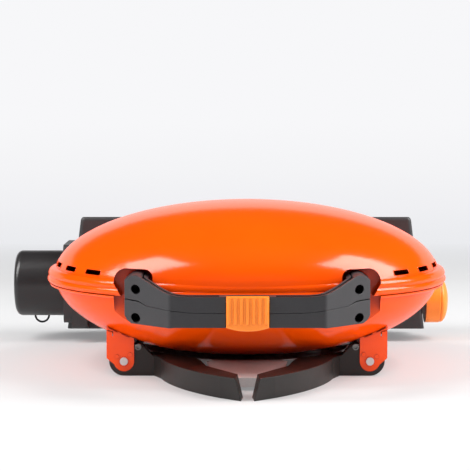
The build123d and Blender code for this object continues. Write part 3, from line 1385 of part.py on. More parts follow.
with BuildPart() as rear_housing_lower:
    add(housing_block(0, HOUSING_BOTTOM_Z, SEAM_Z))
    add(housing_block(HOUSING_WALL, HOUSING_BOTTOM_Z + HOUSING_WALL, SEAM_Z + 1), mode=Mode.SUBTRACT)
    # collar that carries the gas inlet
    with BuildSketch(side_plane(COLLAR_OUTER_X)):
        with Locations((GAS_Y, (COLLAR_BOTTOM_Z + COLLAR_TOP_Z) / 2)):
            RectangleRounded(2 * COLLAR_HALF_DEPTH, COLLAR_TOP_Z - COLLAR_BOTTOM_Z, 6)
            Rectangle(
                2 * (COLLAR_HALF_DEPTH - HOUSING_WALL),
                COLLAR_TOP_Z - COLLAR_BOTTOM_Z - 2 * HOUSING_WALL,
                mode=Mode.SUBTRACT,
            )
    extrude(amount=COLLAR_INNER_X - COLLAR_OUTER_X)
    with BuildSketch(side_plane(COLLAR_OUTER_X)):
        with Locations((GAS_Y, (COLLAR_BOTTOM_Z + COLLAR_TOP_Z) / 2)):
            RectangleRounded(2 * COLLAR_HALF_DEPTH, COLLAR_TOP_Z - COLLAR_BOTTOM_Z, 6)
    extrude(amount=HOUSING_WALL)
    # seat of the inlet's flange in the slanting wall
    with BuildSketch(side_plane(COLLAR_OUTER_X)):
        with Locations((GAS_Y, (INLET_FLANGE_BOTTOM_Z + RIM_Z) / 2 - FIT_GAP)):
            Rectangle(2 * COLLAR_HALF_DEPTH, RIM_Z - INLET_FLANGE_BOTTOM_Z)
    extrude(amount=-INLET_FLANGE_THICKNESS, mode=Mode.SUBTRACT)
    add(boss_pair(LOWER_BOSS_Z, bowl_y(HOUSING_BOSS_X, LOWER_BOSS_Z)))
    add(BODY_CUT, mode=Mode.SUBTRACT)
    add(bead_room(SEAM_Z - FLANGE_THICKNESS - BODY_CLEARANCE, SEAM_Z), mode=Mode.SUBTRACT)
    add(knuckle_rods(KNUCKLE_RADIUS, of_lid=False))
    add(knuckle_rods(knuckle_room, of_lid=True, growth=FIT_GAP), mode=Mode.SUBTRACT)
    add(pin_holes(), mode=Mode.SUBTRACT)
    # bezel of the knob, and the holes for the stem and the regulator's neck
    add(rod_x(GAS_Y, VALVE_Z, BEZEL_RADIUS, housing_half(VALVE_Z) - HOUSING_WALL, BEZEL_FACE_X))
    add(rod_x(GAS_Y, VALVE_Z, 2 * STEM_RADIUS, VALVE_FRONT_X, BEZEL_FACE_X), mode=Mode.SUBTRACT)
    neck_room = rod_x(
        GAS_Y, REGULATOR_Z, REGULATOR_RADIUS - 6 + FIT_GAP, COLLAR_OUTER_X, COLLAR_INNER_X
    )
    add(neck_room, mode=Mode.SUBTRACT)
    add(boss_screws(LOWER_BOSS_Z, bowl_y, SCREW_CLEARANCE), mode=Mode.SUBTRACT)
    feed_room = rod_y(FEED_X, VALVE_Z, FEED_RADIUS + FIT_GAP, HOUSING_FRONT_Y - 1, FEED_END_Y)
    add(feed_room, mode=Mode.SUBTRACT)
finish(rear_housing_lower, "rear_housing_lower")

with BuildPart() as rear_housing_upper:
    add(housing_block(0, LID_EDGE_Z, HOUSING_TOP_Z, HOUSING_BACK_DROP, HOUSING_TOP_CORNER))
    ceiling_z = HOUSING_TOP_Z - HOUSING_WALL
    add(
        housing_block(HOUSING_WALL, LID_EDGE_Z - 1, ceiling_z, HOUSING_BACK_DROP),
        mode=Mode.SUBTRACT,
    )
    add(boss_pair(UPPER_BOSS_Z, lid_y(HOUSING_BOSS_X, UPPER_BOSS_Z)))
    add(LID_CUT, mode=Mode.SUBTRACT)
    add(bead_room(LID_EDGE_Z, BEAD_TOP_Z + 1), mode=Mode.SUBTRACT)
    add(knuckle_rods(KNUCKLE_RADIUS, of_lid=True))
    add(knuckle_rods(knuckle_room, of_lid=False, growth=FIT_GAP), mode=Mode.SUBTRACT)
    add(pin_holes(), mode=Mode.SUBTRACT)
    add(boss_screws(UPPER_BOSS_Z, lid_y, SCREW_CLEARANCE), mode=Mode.SUBTRACT)
finish(rear_housing_upper, "rear_housing_upper")

with BuildPart() as housing_screws_lower:
    add(boss_screws(LOWER_BOSS_Z, bowl_y))
finish(housing_screws_lower, "housing_screws_lower")

with BuildPart() as housing_screws_upper:
    add(boss_screws(UPPER_BOSS_Z, lid_y))
finish(housing_screws_upper, "housing_screws_upper")

with BuildPart() as hinge_pins:
    for x in (-HINGE_X, HINGE_X):
        ends = (x - PIN_HALF_LENGTH, x + PIN_HALF_LENGTH)
        add(rod_x(HOUSING_BACK_Y, HINGE_Z, HINGE_PIN_RADIUS, *ends))
finish(hinge_pins, "hinge_pins")


def pads(z):
    """Two rubber pads on the back of the housing."""
    with BuildPart() as pair:
        with BuildSketch(front_plane(HOUSING_BACK_Y)):
            with GridLocations(2 * PAD_X, 0, 2, 1):
                with Locations((0, z)):
                    Circle(PAD_RADIUS)
        extrude(amount=-PAD_THICKNESS)
        chamfer(pair.faces().sort_by(Axis.Y)[-2:].edges(), PAD_THICKNESS / 5)
    return pair


finish(pads(LOWER_PAD_Z), "lower_rest_pads")
finish(pads(UPPER_PAD_Z), "upper_rest_pads")

# ---------------------------------------------------------------- gas inlet and its cap
FLANGE_FACE_X = COLLAR_OUTER_X - INLET_FLANGE_THICKNESS

with BuildPart() as inlet_flange:
    with BuildSketch(side_plane(COLLAR_OUTER_X)):
        with Locations((GAS_Y, (INLET_FLANGE_BOTTOM_Z + INLET_FLANGE_TOP_Z) / 2)):
            height = INLET_FLANGE_TOP_Z - INLET_FLANGE_BOTTOM_Z
            RectangleRounded(2 * (COLLAR_HALF_DEPTH - FIT_GAP), height, 10)
    extrude(amount=-INLET_FLANGE_THICKNESS)
    spigot_radius = CAP_RADIUS - CAP_WALL - FIT_GAP
    with BuildSketch(side_plane(FLANGE_FACE_X)):
        with Locations((GAS_Y, REGULATOR_Z)):
            Circle(spigot_radius)
            Circle(spigot_radius - SPIGOT_WALL, mode=Mode.SUBTRACT)
    extrude(amount=-SPIGOT_LENGTH)
    neck = rod_x(GAS_Y, REGULATOR_Z, REGULATOR_RADIUS - 6 + FIT_GAP, FLANGE_FACE_X, COLLAR_OUTER_X)
    add(neck, mode=Mode.SUBTRACT)
finish(inlet_flange, "inlet_flange")

with BuildPart() as inlet_socket:
    mouth_x = regulator_outer_x - SOCKET_LENGTH
    add(rod_x(GAS_Y, REGULATOR_Z, SOCKET_RADIUS, mouth_x, regulator_outer_x))
    bore = rod_x(GAS_Y, REGULATOR_Z, SOCKET_BORE_RADIUS, mouth_x, mouth_x + SOCKET_BORE_DEPTH)
    add(bore, mode=Mode.SUBTRACT)
finish(inlet_socket, "inlet_socket")

with BuildPart() as inlet_cap:
    cap_end_x = CAP_OPEN_X - CAP_LENGTH
    add(rod_x(GAS_Y, REGULATOR_Z, CAP_RADIUS, cap_end_x, CAP_OPEN_X))
    fillet(inlet_cap.faces().sort_by(Axis.X)[0].edges(), CAP_ROUND)
    hollow = rod_x(GAS_Y, REGULATOR_Z, CAP_RADIUS - CAP_WALL, cap_end_x + CAP_WALL, CAP_OPEN_X)
    add(hollow, mode=Mode.SUBTRACT)
    loop_x = (cap_end_x + CAP_OPEN_X) / 2
    for x in (loop_x - LOOP_HALF_WIDTH, loop_x + LOOP_HALF_WIDTH):
        with BuildSketch(Plane.XY.offset(REGULATOR_Z)):
            with Locations((x, GAS_Y)):
                Circle(LOOP_WIRE_RADIUS + PIN_CLEARANCE)
        extrude(amount=-CAP_RADIUS, mode=Mode.SUBTRACT)
finish(inlet_cap, "inlet_cap")

with BuildPart() as cap_wire_loop:
    loop_top_z = REGULATOR_Z - CAP_RADIUS + CAP_WALL
    loop_bottom_z = REGULATOR_Z - CAP_RADIUS
    with BuildLine(front_plane(GAS_Y)) as loop_line:
        left = Line(
            (loop_x - LOOP_HALF_WIDTH, loop_top_z), (loop_x - LOOP_HALF_WIDTH, loop_bottom_z)
        )
        arc = ThreePointArc(
            left @ 1,
            (loop_x, loop_bottom_z - LOOP_HALF_WIDTH),
            (loop_x + LOOP_HALF_WIDTH, loop_bottom_z),
        )
        Line(arc @ 1, (loop_x + LOOP_HALF_WIDTH, loop_top_z))
    with BuildSketch(Plane.XY.offset(loop_top_z)):
        with Locations((loop_x - LOOP_HALF_WIDTH, GAS_Y)):
            Circle(LOOP_WIRE_RADIUS)
    sweep(path=loop_line.wires()[0])
finish(cap_wire_loop, "cap_wire_loop")

# ---------------------------------------------------------------- control knob
with BuildPart() as valve_stem:
    add(rod_x(GAS_Y, VALVE_Z, STEM_RADIUS, STEM_BACK_X, KNOB_BACK_X + KNOB_LENGTH - 4))
finish(valve_stem, "valve_stem")

with BuildPart() as stem_washer:
    washer_x = VALVE_FRONT_X + PUSH_TRAVEL + FIT_GAP
    add(rod_x(GAS_Y, VALVE_Z, 2 * STEM_RADIUS - 1, washer_x, washer_x + 2))
    bore = rod_x(GAS_Y, VALVE_Z, STEM_RADIUS + PIN_CLEARANCE, washer_x, washer_x + 2)
    add(bore, mode=Mode.SUBTRACT)
finish(stem_washer, "stem_washer")

with BuildPart() as control_knob:
    knob_front_x = KNOB_BACK_X + KNOB_LENGTH
    with BuildSketch(Plane.XY.offset(VALVE_Z)):
        with BuildLine():
            crown = EllipticalCenterArc(
                (knob_front_x, GAS_Y), KNOB_DOME, KNOB_RADIUS - KNOB_GROOVE / 2, arc_size=90
            )
            Polyline(
                crown @ 1,
                (knob_front_x - KNOB_GROOVE, GAS_Y + KNOB_RADIUS - KNOB_GROOVE),
                (knob_front_x - 2 * KNOB_GROOVE, GAS_Y + KNOB_RADIUS),
                (KNOB_BACK_X, GAS_Y + KNOB_RADIUS),
                (KNOB_BACK_X, GAS_Y),
                crown @ 0,
            )
        make_face()
    revolve(axis=Axis((0, GAS_Y, VALVE_Z), (1, 0, 0)))
    # raised pointer on top of the barrel
    with BuildSketch(Plane.XY.offset(VALVE_Z)):
        with Locations((KNOB_BACK_X + KNOB_LENGTH / 2, GAS_Y)):
            SlotOverall(KNOB_LENGTH - 4 * KNOB_GROOVE, POINTER_WIDTH)
    extrude(amount=KNOB_RADIUS + POINTER_HEIGHT)
    bore = rod_x(
        GAS_Y, VALVE_Z, STEM_RADIUS + PIN_CLEARANCE, KNOB_BACK_X, KNOB_BACK_X + KNOB_LENGTH - 4
    )
    add(bore, mode=Mode.SUBTRACT)
finish(control_knob, "control_knob")
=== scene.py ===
# %% [markdown]
# # A tabletop gas grill, dressed in Blender
# The grill's solids come from a CAD program, already in the right place and size. This lesson
# gives them paint, plastic and metal, adds the small things that a solid leaves out, and sets
# the whole in a plain white studio. Each step says what the real piece is, how it could be
# made, and why one way was chosen.

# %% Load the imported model
import math

import bpy
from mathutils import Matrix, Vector


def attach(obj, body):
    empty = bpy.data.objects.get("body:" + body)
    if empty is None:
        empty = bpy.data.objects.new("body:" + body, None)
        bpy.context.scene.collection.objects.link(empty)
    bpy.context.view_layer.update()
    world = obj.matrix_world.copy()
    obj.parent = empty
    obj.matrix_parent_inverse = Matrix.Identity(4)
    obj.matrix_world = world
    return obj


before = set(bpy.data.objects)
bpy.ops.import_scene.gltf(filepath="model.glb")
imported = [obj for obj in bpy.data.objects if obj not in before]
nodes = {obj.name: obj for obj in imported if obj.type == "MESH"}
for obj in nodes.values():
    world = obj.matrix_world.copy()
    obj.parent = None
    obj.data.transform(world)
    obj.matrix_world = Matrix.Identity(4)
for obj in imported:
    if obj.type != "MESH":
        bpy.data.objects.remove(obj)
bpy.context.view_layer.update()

# %% Helpers for objects


def new_object(name, data):
    """An object with this data, in the scene."""
    made = bpy.data.objects.new(name, data)
    bpy.context.scene.collection.objects.link(made)
    return made


def aim(thing, target):
    """Turn a camera or a lamp to face its target."""
    toward = Vector(target) - thing.location
    thing.rotation_euler = toward.to_track_quat("-Z", "Y").to_euler()


# %% [markdown]
# ## The camera
# A portrait of a product is taken from far away with a long lens, so that the round body isn't
# stretched. The camera stands 2 m in front of the rim, a little above it, and is aimed a
# little higher than the grill, which leaves more air over the lid than under the legs.

# %% Camera
RIM_CENTRE = Vector((0, 0, 0.109))
CAMERA_ELEVATION = math.radians(6.2)
CAMERA_DISTANCE = 2.0
CAMERA_SIDESTEP = -0.010
AIM_POINT = Vector((-0.0139, 0.005, 0.1539))
LENS_MM = 127.0
FILM_WIDTH_MM = 36.0
FARTHEST_SEEN = 50.0

camera_data = bpy.data.cameras.new("portrait_camera")
camera_data.lens = LENS_MM
camera_data.sensor_width = FILM_WIDTH_MM
camera_data.clip_end = FARTHEST_SEEN
camera = new_object("portrait_camera", camera_data)
camera.location = RIM_CENTRE + CAMERA_DISTANCE * Vector(
    (0, -math.cos(CAMERA_ELEVATION), math.sin(CAMERA_ELEVATION))
)
camera.location.x = CAMERA_SIDESTEP
aim(camera, AIM_POINT)
bpy.context.scene.camera = camera
bpy.context.scene.view_settings.view_transform = "Standard"
print("camera at", [round(v, 3) for v in camera.location])

# %% [markdown]
# ## The studio
# The grill stands on a white sweep: a floor that curves up into the wall behind it, so that no
# edge shows. A plane with a wall behind it would show a line, and a sphere would have no floor
# for the shadow. The sweep is one strip of faces that follows a straight, a quarter turn and
# another straight.

# %% Helpers for shader nodes


def add_node(tree, kind, inputs=None, **settings):
    """A node of this kind, with its settings and its unlinked inputs."""
    node = tree.nodes.new(kind)
    for key, value in settings.items():
        setattr(node, key, value)
    for key, value in (inputs or {}).items():
        node.inputs[key].default_value = value
    return node


def blank_material(name):
    """A material with nothing but its output."""
    material = bpy.data.materials.new(name)
    material.use_nodes = True
    material.node_tree.nodes.clear()
    output = material.node_tree.nodes.new("ShaderNodeOutputMaterial")
    return material, material.node_tree, output


# %% Sweep
SWEEP_FRONT = -3.0
SWEEP_BEND = 1.6
SWEEP_RADIUS = 1.2
SWEEP_HALF_WIDTH = 4.0
SWEEP_TOP = 1.35
SWEEP_STEPS = 24


def sweep_profile():
    """Points of the sweep from the front of the floor to the top of the wall."""
    points = [(SWEEP_FRONT, 0.0), (SWEEP_BEND, 0.0)]
    for step in range(1, SWEEP_STEPS + 1):
        turn = math.radians(90) * step / SWEEP_STEPS
        points.append(
            (
                SWEEP_BEND + SWEEP_RADIUS * math.sin(turn),
                SWEEP_RADIUS * (1 - math.cos(turn)),
            )
        )
    points.append((SWEEP_BEND + SWEEP_RADIUS, SWEEP_TOP))
    return points


sweep_mesh = bpy.data.meshes.new("studio_sweep")
sweep_points = sweep_profile()
sweep_corners = [(x, y, z) for y, z in sweep_points for x in (-SWEEP_HALF_WIDTH, SWEEP_HALF_WIDTH)]
sweep_faces = [(2 * i, 2 * i + 1, 2 * i + 3, 2 * i + 2) for i in range(len(sweep_points) - 1)]
sweep_mesh.from_pydata(sweep_corners, [], sweep_faces)
for face in sweep_mesh.polygons:
    face.use_smooth = True
sweep = new_object("studio_sweep", sweep_mesh)
print("sweep:", len(sweep_mesh.polygons), "strips, wall up to", SWEEP_TOP, "m")

# %% [markdown]
# ### The card of the sweep
# For the camera and for mirror reflections, the card glows with painted light in pale tones,
# which stand in for the studio's light falling off: almost white in front, greyer where the
# floor bends, and lighter again up the wall. A card lit by lamps alone would need far more light
# than the grill can take. The floor glows only a little and also scatters light, so that it
# still takes the grill's shadow, and the wall only glows. All other rays meet an ordinary white
# card, which bounces light under the grill.

# %% Painted light along the sweep
FLOOR_GLOW = 0.25
FLOOR_SCATTER = (0.42, 0.42, 0.42, 1)
WALL_SCATTER = (0, 0, 0, 1)
WALL_STARTS = 0.9
BOUNCE_WHITE = (0.86, 0.86, 0.87, 1)


def colour(red, green, blue):
    """Scene colour of an sRGB value from 0 to 255, with full alpha."""

    def channel(value):
        share = value / 255
        return share / 12.92 if share <= 0.04045 else ((share + 0.055) / 1.055) ** 2.4

    return (channel(red), channel(green), channel(blue), 1.0)


def map_range(tree, source, low, high, low_out=0.0, high_out=1.0):
    """A number moved from one range to another."""
    spread = add_node(tree, "ShaderNodeMapRange", {1: low, 2: high, 3: low_out, 4: high_out})
    tree.links.new(source, spread.inputs[0])
    return spread.outputs[0]


def mix_colours(tree, share, first, second):
    """Two colours, given plainly or by socket, mixed by a share from 0 to 1."""
    mix = add_node(tree, "ShaderNodeMix", data_type="RGBA")
    tree.links.new(share, mix.inputs["Factor"])
    for socket, value in ((mix.inputs["A"], first), (mix.inputs["B"], second)):
        if isinstance(value, bpy.types.NodeSocket):
            tree.links.new(value, socket)
        else:
            socket.default_value = value
    return mix.outputs["Result"]


def tone_ramp(tree, source, stops):
    """Colours along one coordinate, from stops of (place, colour)."""
    low = stops[0][0]
    high = stops[-1][0]
    ramp = add_node(tree, "ShaderNodeValToRGB")
    tree.links.new(map_range(tree, source, low, high), ramp.inputs[0])
    while len(ramp.color_ramp.elements) < len(stops):
        ramp.color_ramp.elements.new(0.5)
    for element, (place_along, tone) in zip(ramp.color_ramp.elements, stops):
        element.position = (place_along - low) / (high - low)
        element.color = tone
    return ramp.outputs[0]


# Painted light: the glow's tones grow greyer towards the bend, as the studio's light does.
FLOOR_PAINTED_LIGHT = (
    (-0.5, colour(253, 252, 253)),
    (-0.2, colour(251, 249, 250)),
    (0.3, colour(246, 245, 247)),
    (0.6, colour(243, 243, 245)),
    (1.2, colour(238, 239, 241)),
    (SWEEP_BEND, colour(235, 236, 239)),
)
WALL_PAINTED_LIGHT = (
    (0.0, colour(235, 236, 239)),
    (0.054, colour(240, 240, 243)),
    (0.133, colour(244, 244, 246)),
    (0.245, colour(247, 247, 249)),
)
print("tones:", len(FLOOR_PAINTED_LIGHT), "along the floor,", len(WALL_PAINTED_LIGHT), "up the wall")

# %% Card material
sweep_material, tree, output = blank_material("studio_card")
place = add_node(tree, "ShaderNodeTexCoord")
along_and_up = add_node(tree, "ShaderNodeSeparateXYZ")
tree.links.new(place.outputs["Object"], along_and_up.inputs[0])
floor_painted_light = tone_ramp(tree, along_and_up.outputs["Y"], FLOOR_PAINTED_LIGHT)
wall_painted_light = tone_ramp(tree, along_and_up.outputs["Z"], WALL_PAINTED_LIGHT)
wall_share = map_range(tree, along_and_up.outputs["Y"], WALL_STARTS, SWEEP_BEND)
card_painted_light = mix_colours(tree, wall_share, floor_painted_light, wall_painted_light)
card_scatter = mix_colours(tree, wall_share, FLOOR_SCATTER, WALL_SCATTER)
card_glow = add_node(tree, "ShaderNodeEmission")
tree.links.new(card_painted_light, card_glow.inputs["Color"])
glow_strength = map_range(tree, wall_share, 0.0, 1.0, FLOOR_GLOW, 1.0)
tree.links.new(glow_strength, card_glow.inputs["Strength"])
card_diffuse = add_node(tree, "ShaderNodeBsdfDiffuse")
tree.links.new(card_scatter, card_diffuse.inputs["Color"])
lit_card = add_node(tree, "ShaderNodeAddShader")
tree.links.new(card_glow.outputs[0], lit_card.inputs[0])
tree.links.new(card_diffuse.outputs[0], lit_card.inputs[1])
plain_card = add_node(tree, "ShaderNodeBsdfDiffuse", {"Color": BOUNCE_WHITE})
ray = add_node(tree, "ShaderNodeLightPath")
seen_or_mirrored = add_node(tree, "ShaderNodeMath", operation="MAXIMUM")
tree.links.new(ray.outputs["Is Camera Ray"], seen_or_mirrored.inputs[0])
tree.links.new(ray.outputs["Is Glossy Ray"], seen_or_mirrored.inputs[1])
seen_card = add_node(tree, "ShaderNodeMixShader")
tree.links.new(seen_or_mirrored.outputs[0], seen_card.inputs[0])
tree.links.new(plain_card.outputs[0], seen_card.inputs[1])
tree.links.new(lit_card.outputs[0], seen_card.inputs[2])
tree.links.new(seen_card.outputs[0], output.inputs["Surface"])
sweep_mesh.materials.append(sweep_material)
print("sweep material:", sweep_material.name, "with", len(tree.nodes), "nodes")

# %% [markdown]
# ### The room around the sweep
# The world stands for the rest of the room. It fills the shadows faintly, is nearly black for
# mirror reflections, so that the paint reflects lamps and not an even haze, and is pale for the
# camera, in case a view looks past the edge of the sweep.

# %% World
WORLD_COLOUR = (0.96, 0.97, 1.0, 1)
WORLD_FILL = 0.2
WORLD_IN_MIRRORS = 0.03
WORLD_FOR_CAMERA = 0.93

world = bpy.data.worlds.new("studio_world")
bpy.context.scene.world = world
world.use_nodes = True
world_tree = world.node_tree
backdrop = world_tree.nodes["Background"]
backdrop.inputs["Color"].default_value = WORLD_COLOUR
world_ray = add_node(world_tree, "ShaderNodeLightPath")
for_gloss = add_node(world_tree, "ShaderNodeMix", data_type="FLOAT")
for_gloss.inputs["A"].default_value = WORLD_FILL
for_gloss.inputs["B"].default_value = WORLD_IN_MIRRORS
world_tree.links.new(world_ray.outputs["Is Glossy Ray"], for_gloss.inputs["Factor"])
for_camera = add_node(world_tree, "ShaderNodeMix", data_type="FLOAT")
for_camera.inputs["B"].default_value = WORLD_FOR_CAMERA
world_tree.links.new(world_ray.outputs["Is Camera Ray"], for_camera.inputs["Factor"])
world_tree.links.new(for_gloss.outputs["Result"], for_camera.inputs["A"])
world_tree.links.new(for_camera.outputs["Result"], backdrop.inputs["Strength"])
print("world strength:", WORLD_FILL, "as fill,", WORLD_FOR_CAMERA, "for the camera")

# %% [markdown]
# ### The lamps
# Two soft boxes hang over the left and right shoulders of the grill. Their reflections are the
# two bright patches beside the handle, and they are what makes paint look like paint. Two more
# fill in from the front and from above. Those two are hidden from mirror reflections, because
# a third and a fourth patch would spoil the clean middle of the lid.

# %% Lamps
LAMP_TARGET = (0, 0, 0.1)


def soft_box(name, position, size, power):
    """A rectangular lamp of (width, height) in metres and so many watts that faces the grill."""
    lamp_data = bpy.data.lights.new(name, "AREA")
    lamp_data.shape = "RECTANGLE"
    lamp_data.size, lamp_data.size_y = size
    lamp_data.energy = power
    lamp = new_object(name, lamp_data)
    lamp.location = position
    aim(lamp, LAMP_TARGET)
    return lamp


soft_box("left_box", (-1.36, -0.38, 1.36), (0.75, 1.5), 43)
soft_box("right_box", (1.52, -0.14, 1.26), (0.9, 1.6), 56)
front_fill = soft_box("front_fill", (0.0, -2.6, 1.5), (3.0, 2.0), 18)
top_fill = soft_box("top_fill", (0.0, -0.2, 2.3), (2.2, 1.6), 7)
for fill in (front_fill, top_fill):
    fill.visible_glossy = False

# %% [markdown]
# ## Finishes that several materials share
# Three small effects turn up again and again: the fine grain of a moulded or sprayed surface,
# the slow change of tone over a large panel, and the scratches that run one way on drawn
# metal. Each is built once as a node group, and every material gives it its own scale.

# %% Node groups


def new_group(name, inputs, outputs):
    """An empty shader group with named number, vector or colour sockets."""
    group = bpy.data.node_groups.new(name, "ShaderNodeTree")
    for socket_name, socket_type, value in inputs:
        socket = group.interface.new_socket(socket_name, in_out="INPUT", socket_type=socket_type)
        if value is not None:
            socket.default_value = value
    for socket_name, socket_type in outputs:
        group.interface.new_socket(socket_name, in_out="OUTPUT", socket_type=socket_type)
    entry = group.nodes.new("NodeGroupInput")
    result = group.nodes.new("NodeGroupOutput")
    return group, entry, result


def make_grain_group():
    """Fine grain: a height for the bump, and a speckle from 0 to 1."""
    group, entry, result = new_group(
        "fine_grain",
        [("Vector", "NodeSocketVector", None), ("Scale", "NodeSocketFloat", 900.0)],
        [("Height", "NodeSocketFloat"), ("Speckle", "NodeSocketFloat")],
    )
    cloud = add_node(group, "ShaderNodeTexNoise", {"Detail": 3.0, "Roughness": 0.6})
    cells = add_node(group, "ShaderNodeTexVoronoi", feature="SMOOTH_F1")
    for texture in (cloud, cells):
        group.links.new(entry.outputs["Vector"], texture.inputs["Vector"])
        group.links.new(entry.outputs["Scale"], texture.inputs["Scale"])
    both = add_node(group, "ShaderNodeMath", operation="MULTIPLY")
    group.links.new(cloud.outputs["Fac"], both.inputs[0])
    group.links.new(cells.outputs["Distance"], both.inputs[1])
    group.links.new(both.outputs[0], result.inputs["Height"])
    group.links.new(cloud.outputs["Fac"], result.inputs["Speckle"])
    return group


def make_tone_group():
    """Slow change of tone over a panel, from 0 to 1."""
    group, entry, result = new_group(
        "slow_tone",
        [("Vector", "NodeSocketVector", None), ("Scale", "NodeSocketFloat", 12.0)],
        [("Tone", "NodeSocketFloat")],
    )
    cloud = add_node(group, "ShaderNodeTexNoise", {"Detail": 4.0, "Roughness": 0.55})
    group.links.new(entry.outputs["Vector"], cloud.inputs["Vector"])
    group.links.new(entry.outputs["Scale"], cloud.inputs["Scale"])
    tone = map_range(group, cloud.outputs["Fac"], 0.3, 0.7)
    group.links.new(tone, result.inputs["Tone"])
    return group


def make_scratch_group():
    """Scratches along one direction: a height for the bump and a streak from 0 to 1."""
    group, entry, result = new_group(
        "drawn_scratches",
        [
            ("Vector", "NodeSocketVector", None),
            ("Squeeze", "NodeSocketVector", (40.0, 900.0, 900.0)),
        ],
        [("Height", "NodeSocketFloat"), ("Streak", "NodeSocketFloat")],
    )
    squeezed = add_node(group, "ShaderNodeVectorMath", operation="MULTIPLY")
    group.links.new(entry.outputs["Vector"], squeezed.inputs[0])
    group.links.new(entry.outputs["Squeeze"], squeezed.inputs[1])
    cloud = add_node(group, "ShaderNodeTexNoise", {"Scale": 1.0, "Detail": 5.0, "Roughness": 0.7})
    group.links.new(squeezed.outputs[0], cloud.inputs["Vector"])
    group.links.new(cloud.outputs["Fac"], result.inputs["Height"])
    group.links.new(cloud.outputs["Fac"], result.inputs["Streak"])
    return group


GRAIN = make_grain_group()
TONE = make_tone_group()
SCRATCHES = make_scratch_group()
print("shader groups:", GRAIN.name, TONE.name, SCRATCHES.name)

# %% Helpers for finishes
CROWDED = 0.35
OPEN = 0.85


def place_group(tree, group, vector, **values):
    """A group node that reads this vector, with its own values."""
    node = tree.nodes.new("ShaderNodeGroup")
    node.node_tree = group
    tree.links.new(vector, node.inputs["Vector"])
    for key, value in values.items():
        node.inputs[key].default_value = value
    return node


def link_range(tree, source, target, low, high):
    """Turn a mask from 0 to 1 into a value between low and high, and feed it to a socket."""
    tree.links.new(map_range(tree, source, 0.0, 1.0, low, high), target)


def link_tones(tree, source, target, dark, light):
    """Mix two colours by a mask, and feed the result to a socket."""
    tree.links.new(mix_colours(tree, source, dark, light), target)


def paint_hollow_shade(tree, shader, hollow_shade, reach):
    """Painted shade: darken the colour where other surfaces crowd within reach, as in a pocket."""
    plain = shader.inputs["Base Color"].links[0].from_socket
    crowding = add_node(tree, "ShaderNodeAmbientOcclusion", {"Distance": reach}, samples=8)
    open_share = map_range(tree, crowding.outputs["AO"], CROWDED, OPEN)
    tree.links.new(mix_colours(tree, open_share, hollow_shade, plain), shader.inputs["Base Color"])


def link_bump(tree, height, shader, distance, edge_radius):
    """Feed a height in metres to the shader's normal, over edges rounded to a radius."""
    edge = add_node(tree, "ShaderNodeBevel", {"Radius": edge_radius}, samples=6)
    bump = add_node(tree, "ShaderNodeBump", {"Distance": distance})
    tree.links.new(height, bump.inputs["Height"])
    tree.links.new(edge.outputs[0], bump.inputs["Normal"])
    tree.links.new(bump.outputs[0], shader.inputs["Normal"])


def start_finish(name):
    """A material with a Principled shader and the object's own coordinates."""
    material, tree, output = blank_material(name)
    shader = tree.nodes.new("ShaderNodeBsdfPrincipled")
    tree.links.new(shader.outputs[0], output.inputs["Surface"])
    place = tree.nodes.new("ShaderNodeTexCoord").outputs["Object"]
    return material, tree, shader, place


# %% [markdown]
# ### Enamel paint
# Both shells and the leg brackets are sprayed steel: a strong orange under a smooth, slightly
# soft gloss. One shiny shader would lay a white haze over the orange. Here the base only
# scatters its colour and mirrors nothing, and a thin coat on top does all the mirroring, so
# the highlights stay white and the rest stays deep. Sprayed paint is never quite flat, so a
# very shallow ripple bends the reflections and the tone moves a little over the panel. Inside
# the handle's pockets, where the surfaces shade each other, painted shade darkens the colour.

# %% Enamel paint
# How far the painted shade in the pockets reaches, in metres.
POCKET_SHADE_REACH = 0.03
PAINT_TONE_SCALE = 9.0
PAINT_GRAIN_SCALE = 420.0
PAINT_RIPPLE = 0.00001
PAINT_ROUGHNESS = (0.37, 0.47)
PAINT_COAT = {"Coat Weight": 0.7, "Coat Roughness": 0.15, "Specular IOR Level": 0.0}
SHEET_EDGE = 0.0004


def set_inputs(shader, values):
    """Write plain values into a shader's inputs by name."""
    for key, value in values.items():
        shader.inputs[key].default_value = value


def enamel(name, dark, light, hollow_shade):
    """Sprayed paint with a coat, with painted shade darkening its hollows."""
    material, tree, shader, place = start_finish(name)
    tone = place_group(tree, TONE, place, Scale=PAINT_TONE_SCALE)
    grain = place_group(tree, GRAIN, place, Scale=PAINT_GRAIN_SCALE)
    link_tones(tree, tone.outputs["Tone"], shader.inputs["Base Color"], dark, light)
    # Painted shade: the colour darkens where the surfaces shade each other.
    paint_hollow_shade(tree, shader, hollow_shade, POCKET_SHADE_REACH)
    link_range(tree, grain.outputs["Speckle"], shader.inputs["Roughness"], *PAINT_ROUGHNESS)
    link_bump(tree, grain.outputs["Height"], shader, PAINT_RIPPLE, SHEET_EDGE)
    set_inputs(shader, PAINT_COAT)
    return material


PAINT = enamel(
    "orange_enamel",
    dark=(0.90, 0.074, 0.0003, 1),
    light=(0.94, 0.083, 0.0004, 1),
    # The hollow colour is painted shade, for the pockets and round the dimples.
    hollow_shade=(0.55, 0.030, 0.0004, 1),
)
print("paint:", PAINT.name)

# %% [markdown]
# ### Moulded plastics
# The handle, the housing, the cap and the legs are glass-filled plastic from textured moulds.
# It has a fine, even grain that scatters the light, so that even black parts look dark grey.
# The latch and the knob are a lighter, warmer orange than the paint, and their plastic lets a
# little light in, which a touch of subsurface scattering shows. Edges look rounder than the
# solids have them, because the shader bends the normal there, at no cost in faces.

# %% Moulded plastics
MOULD_TONE_SCALE = 18.0
MOULD_SPREAD = 0.06
SOFT_EDGE = 0.0012


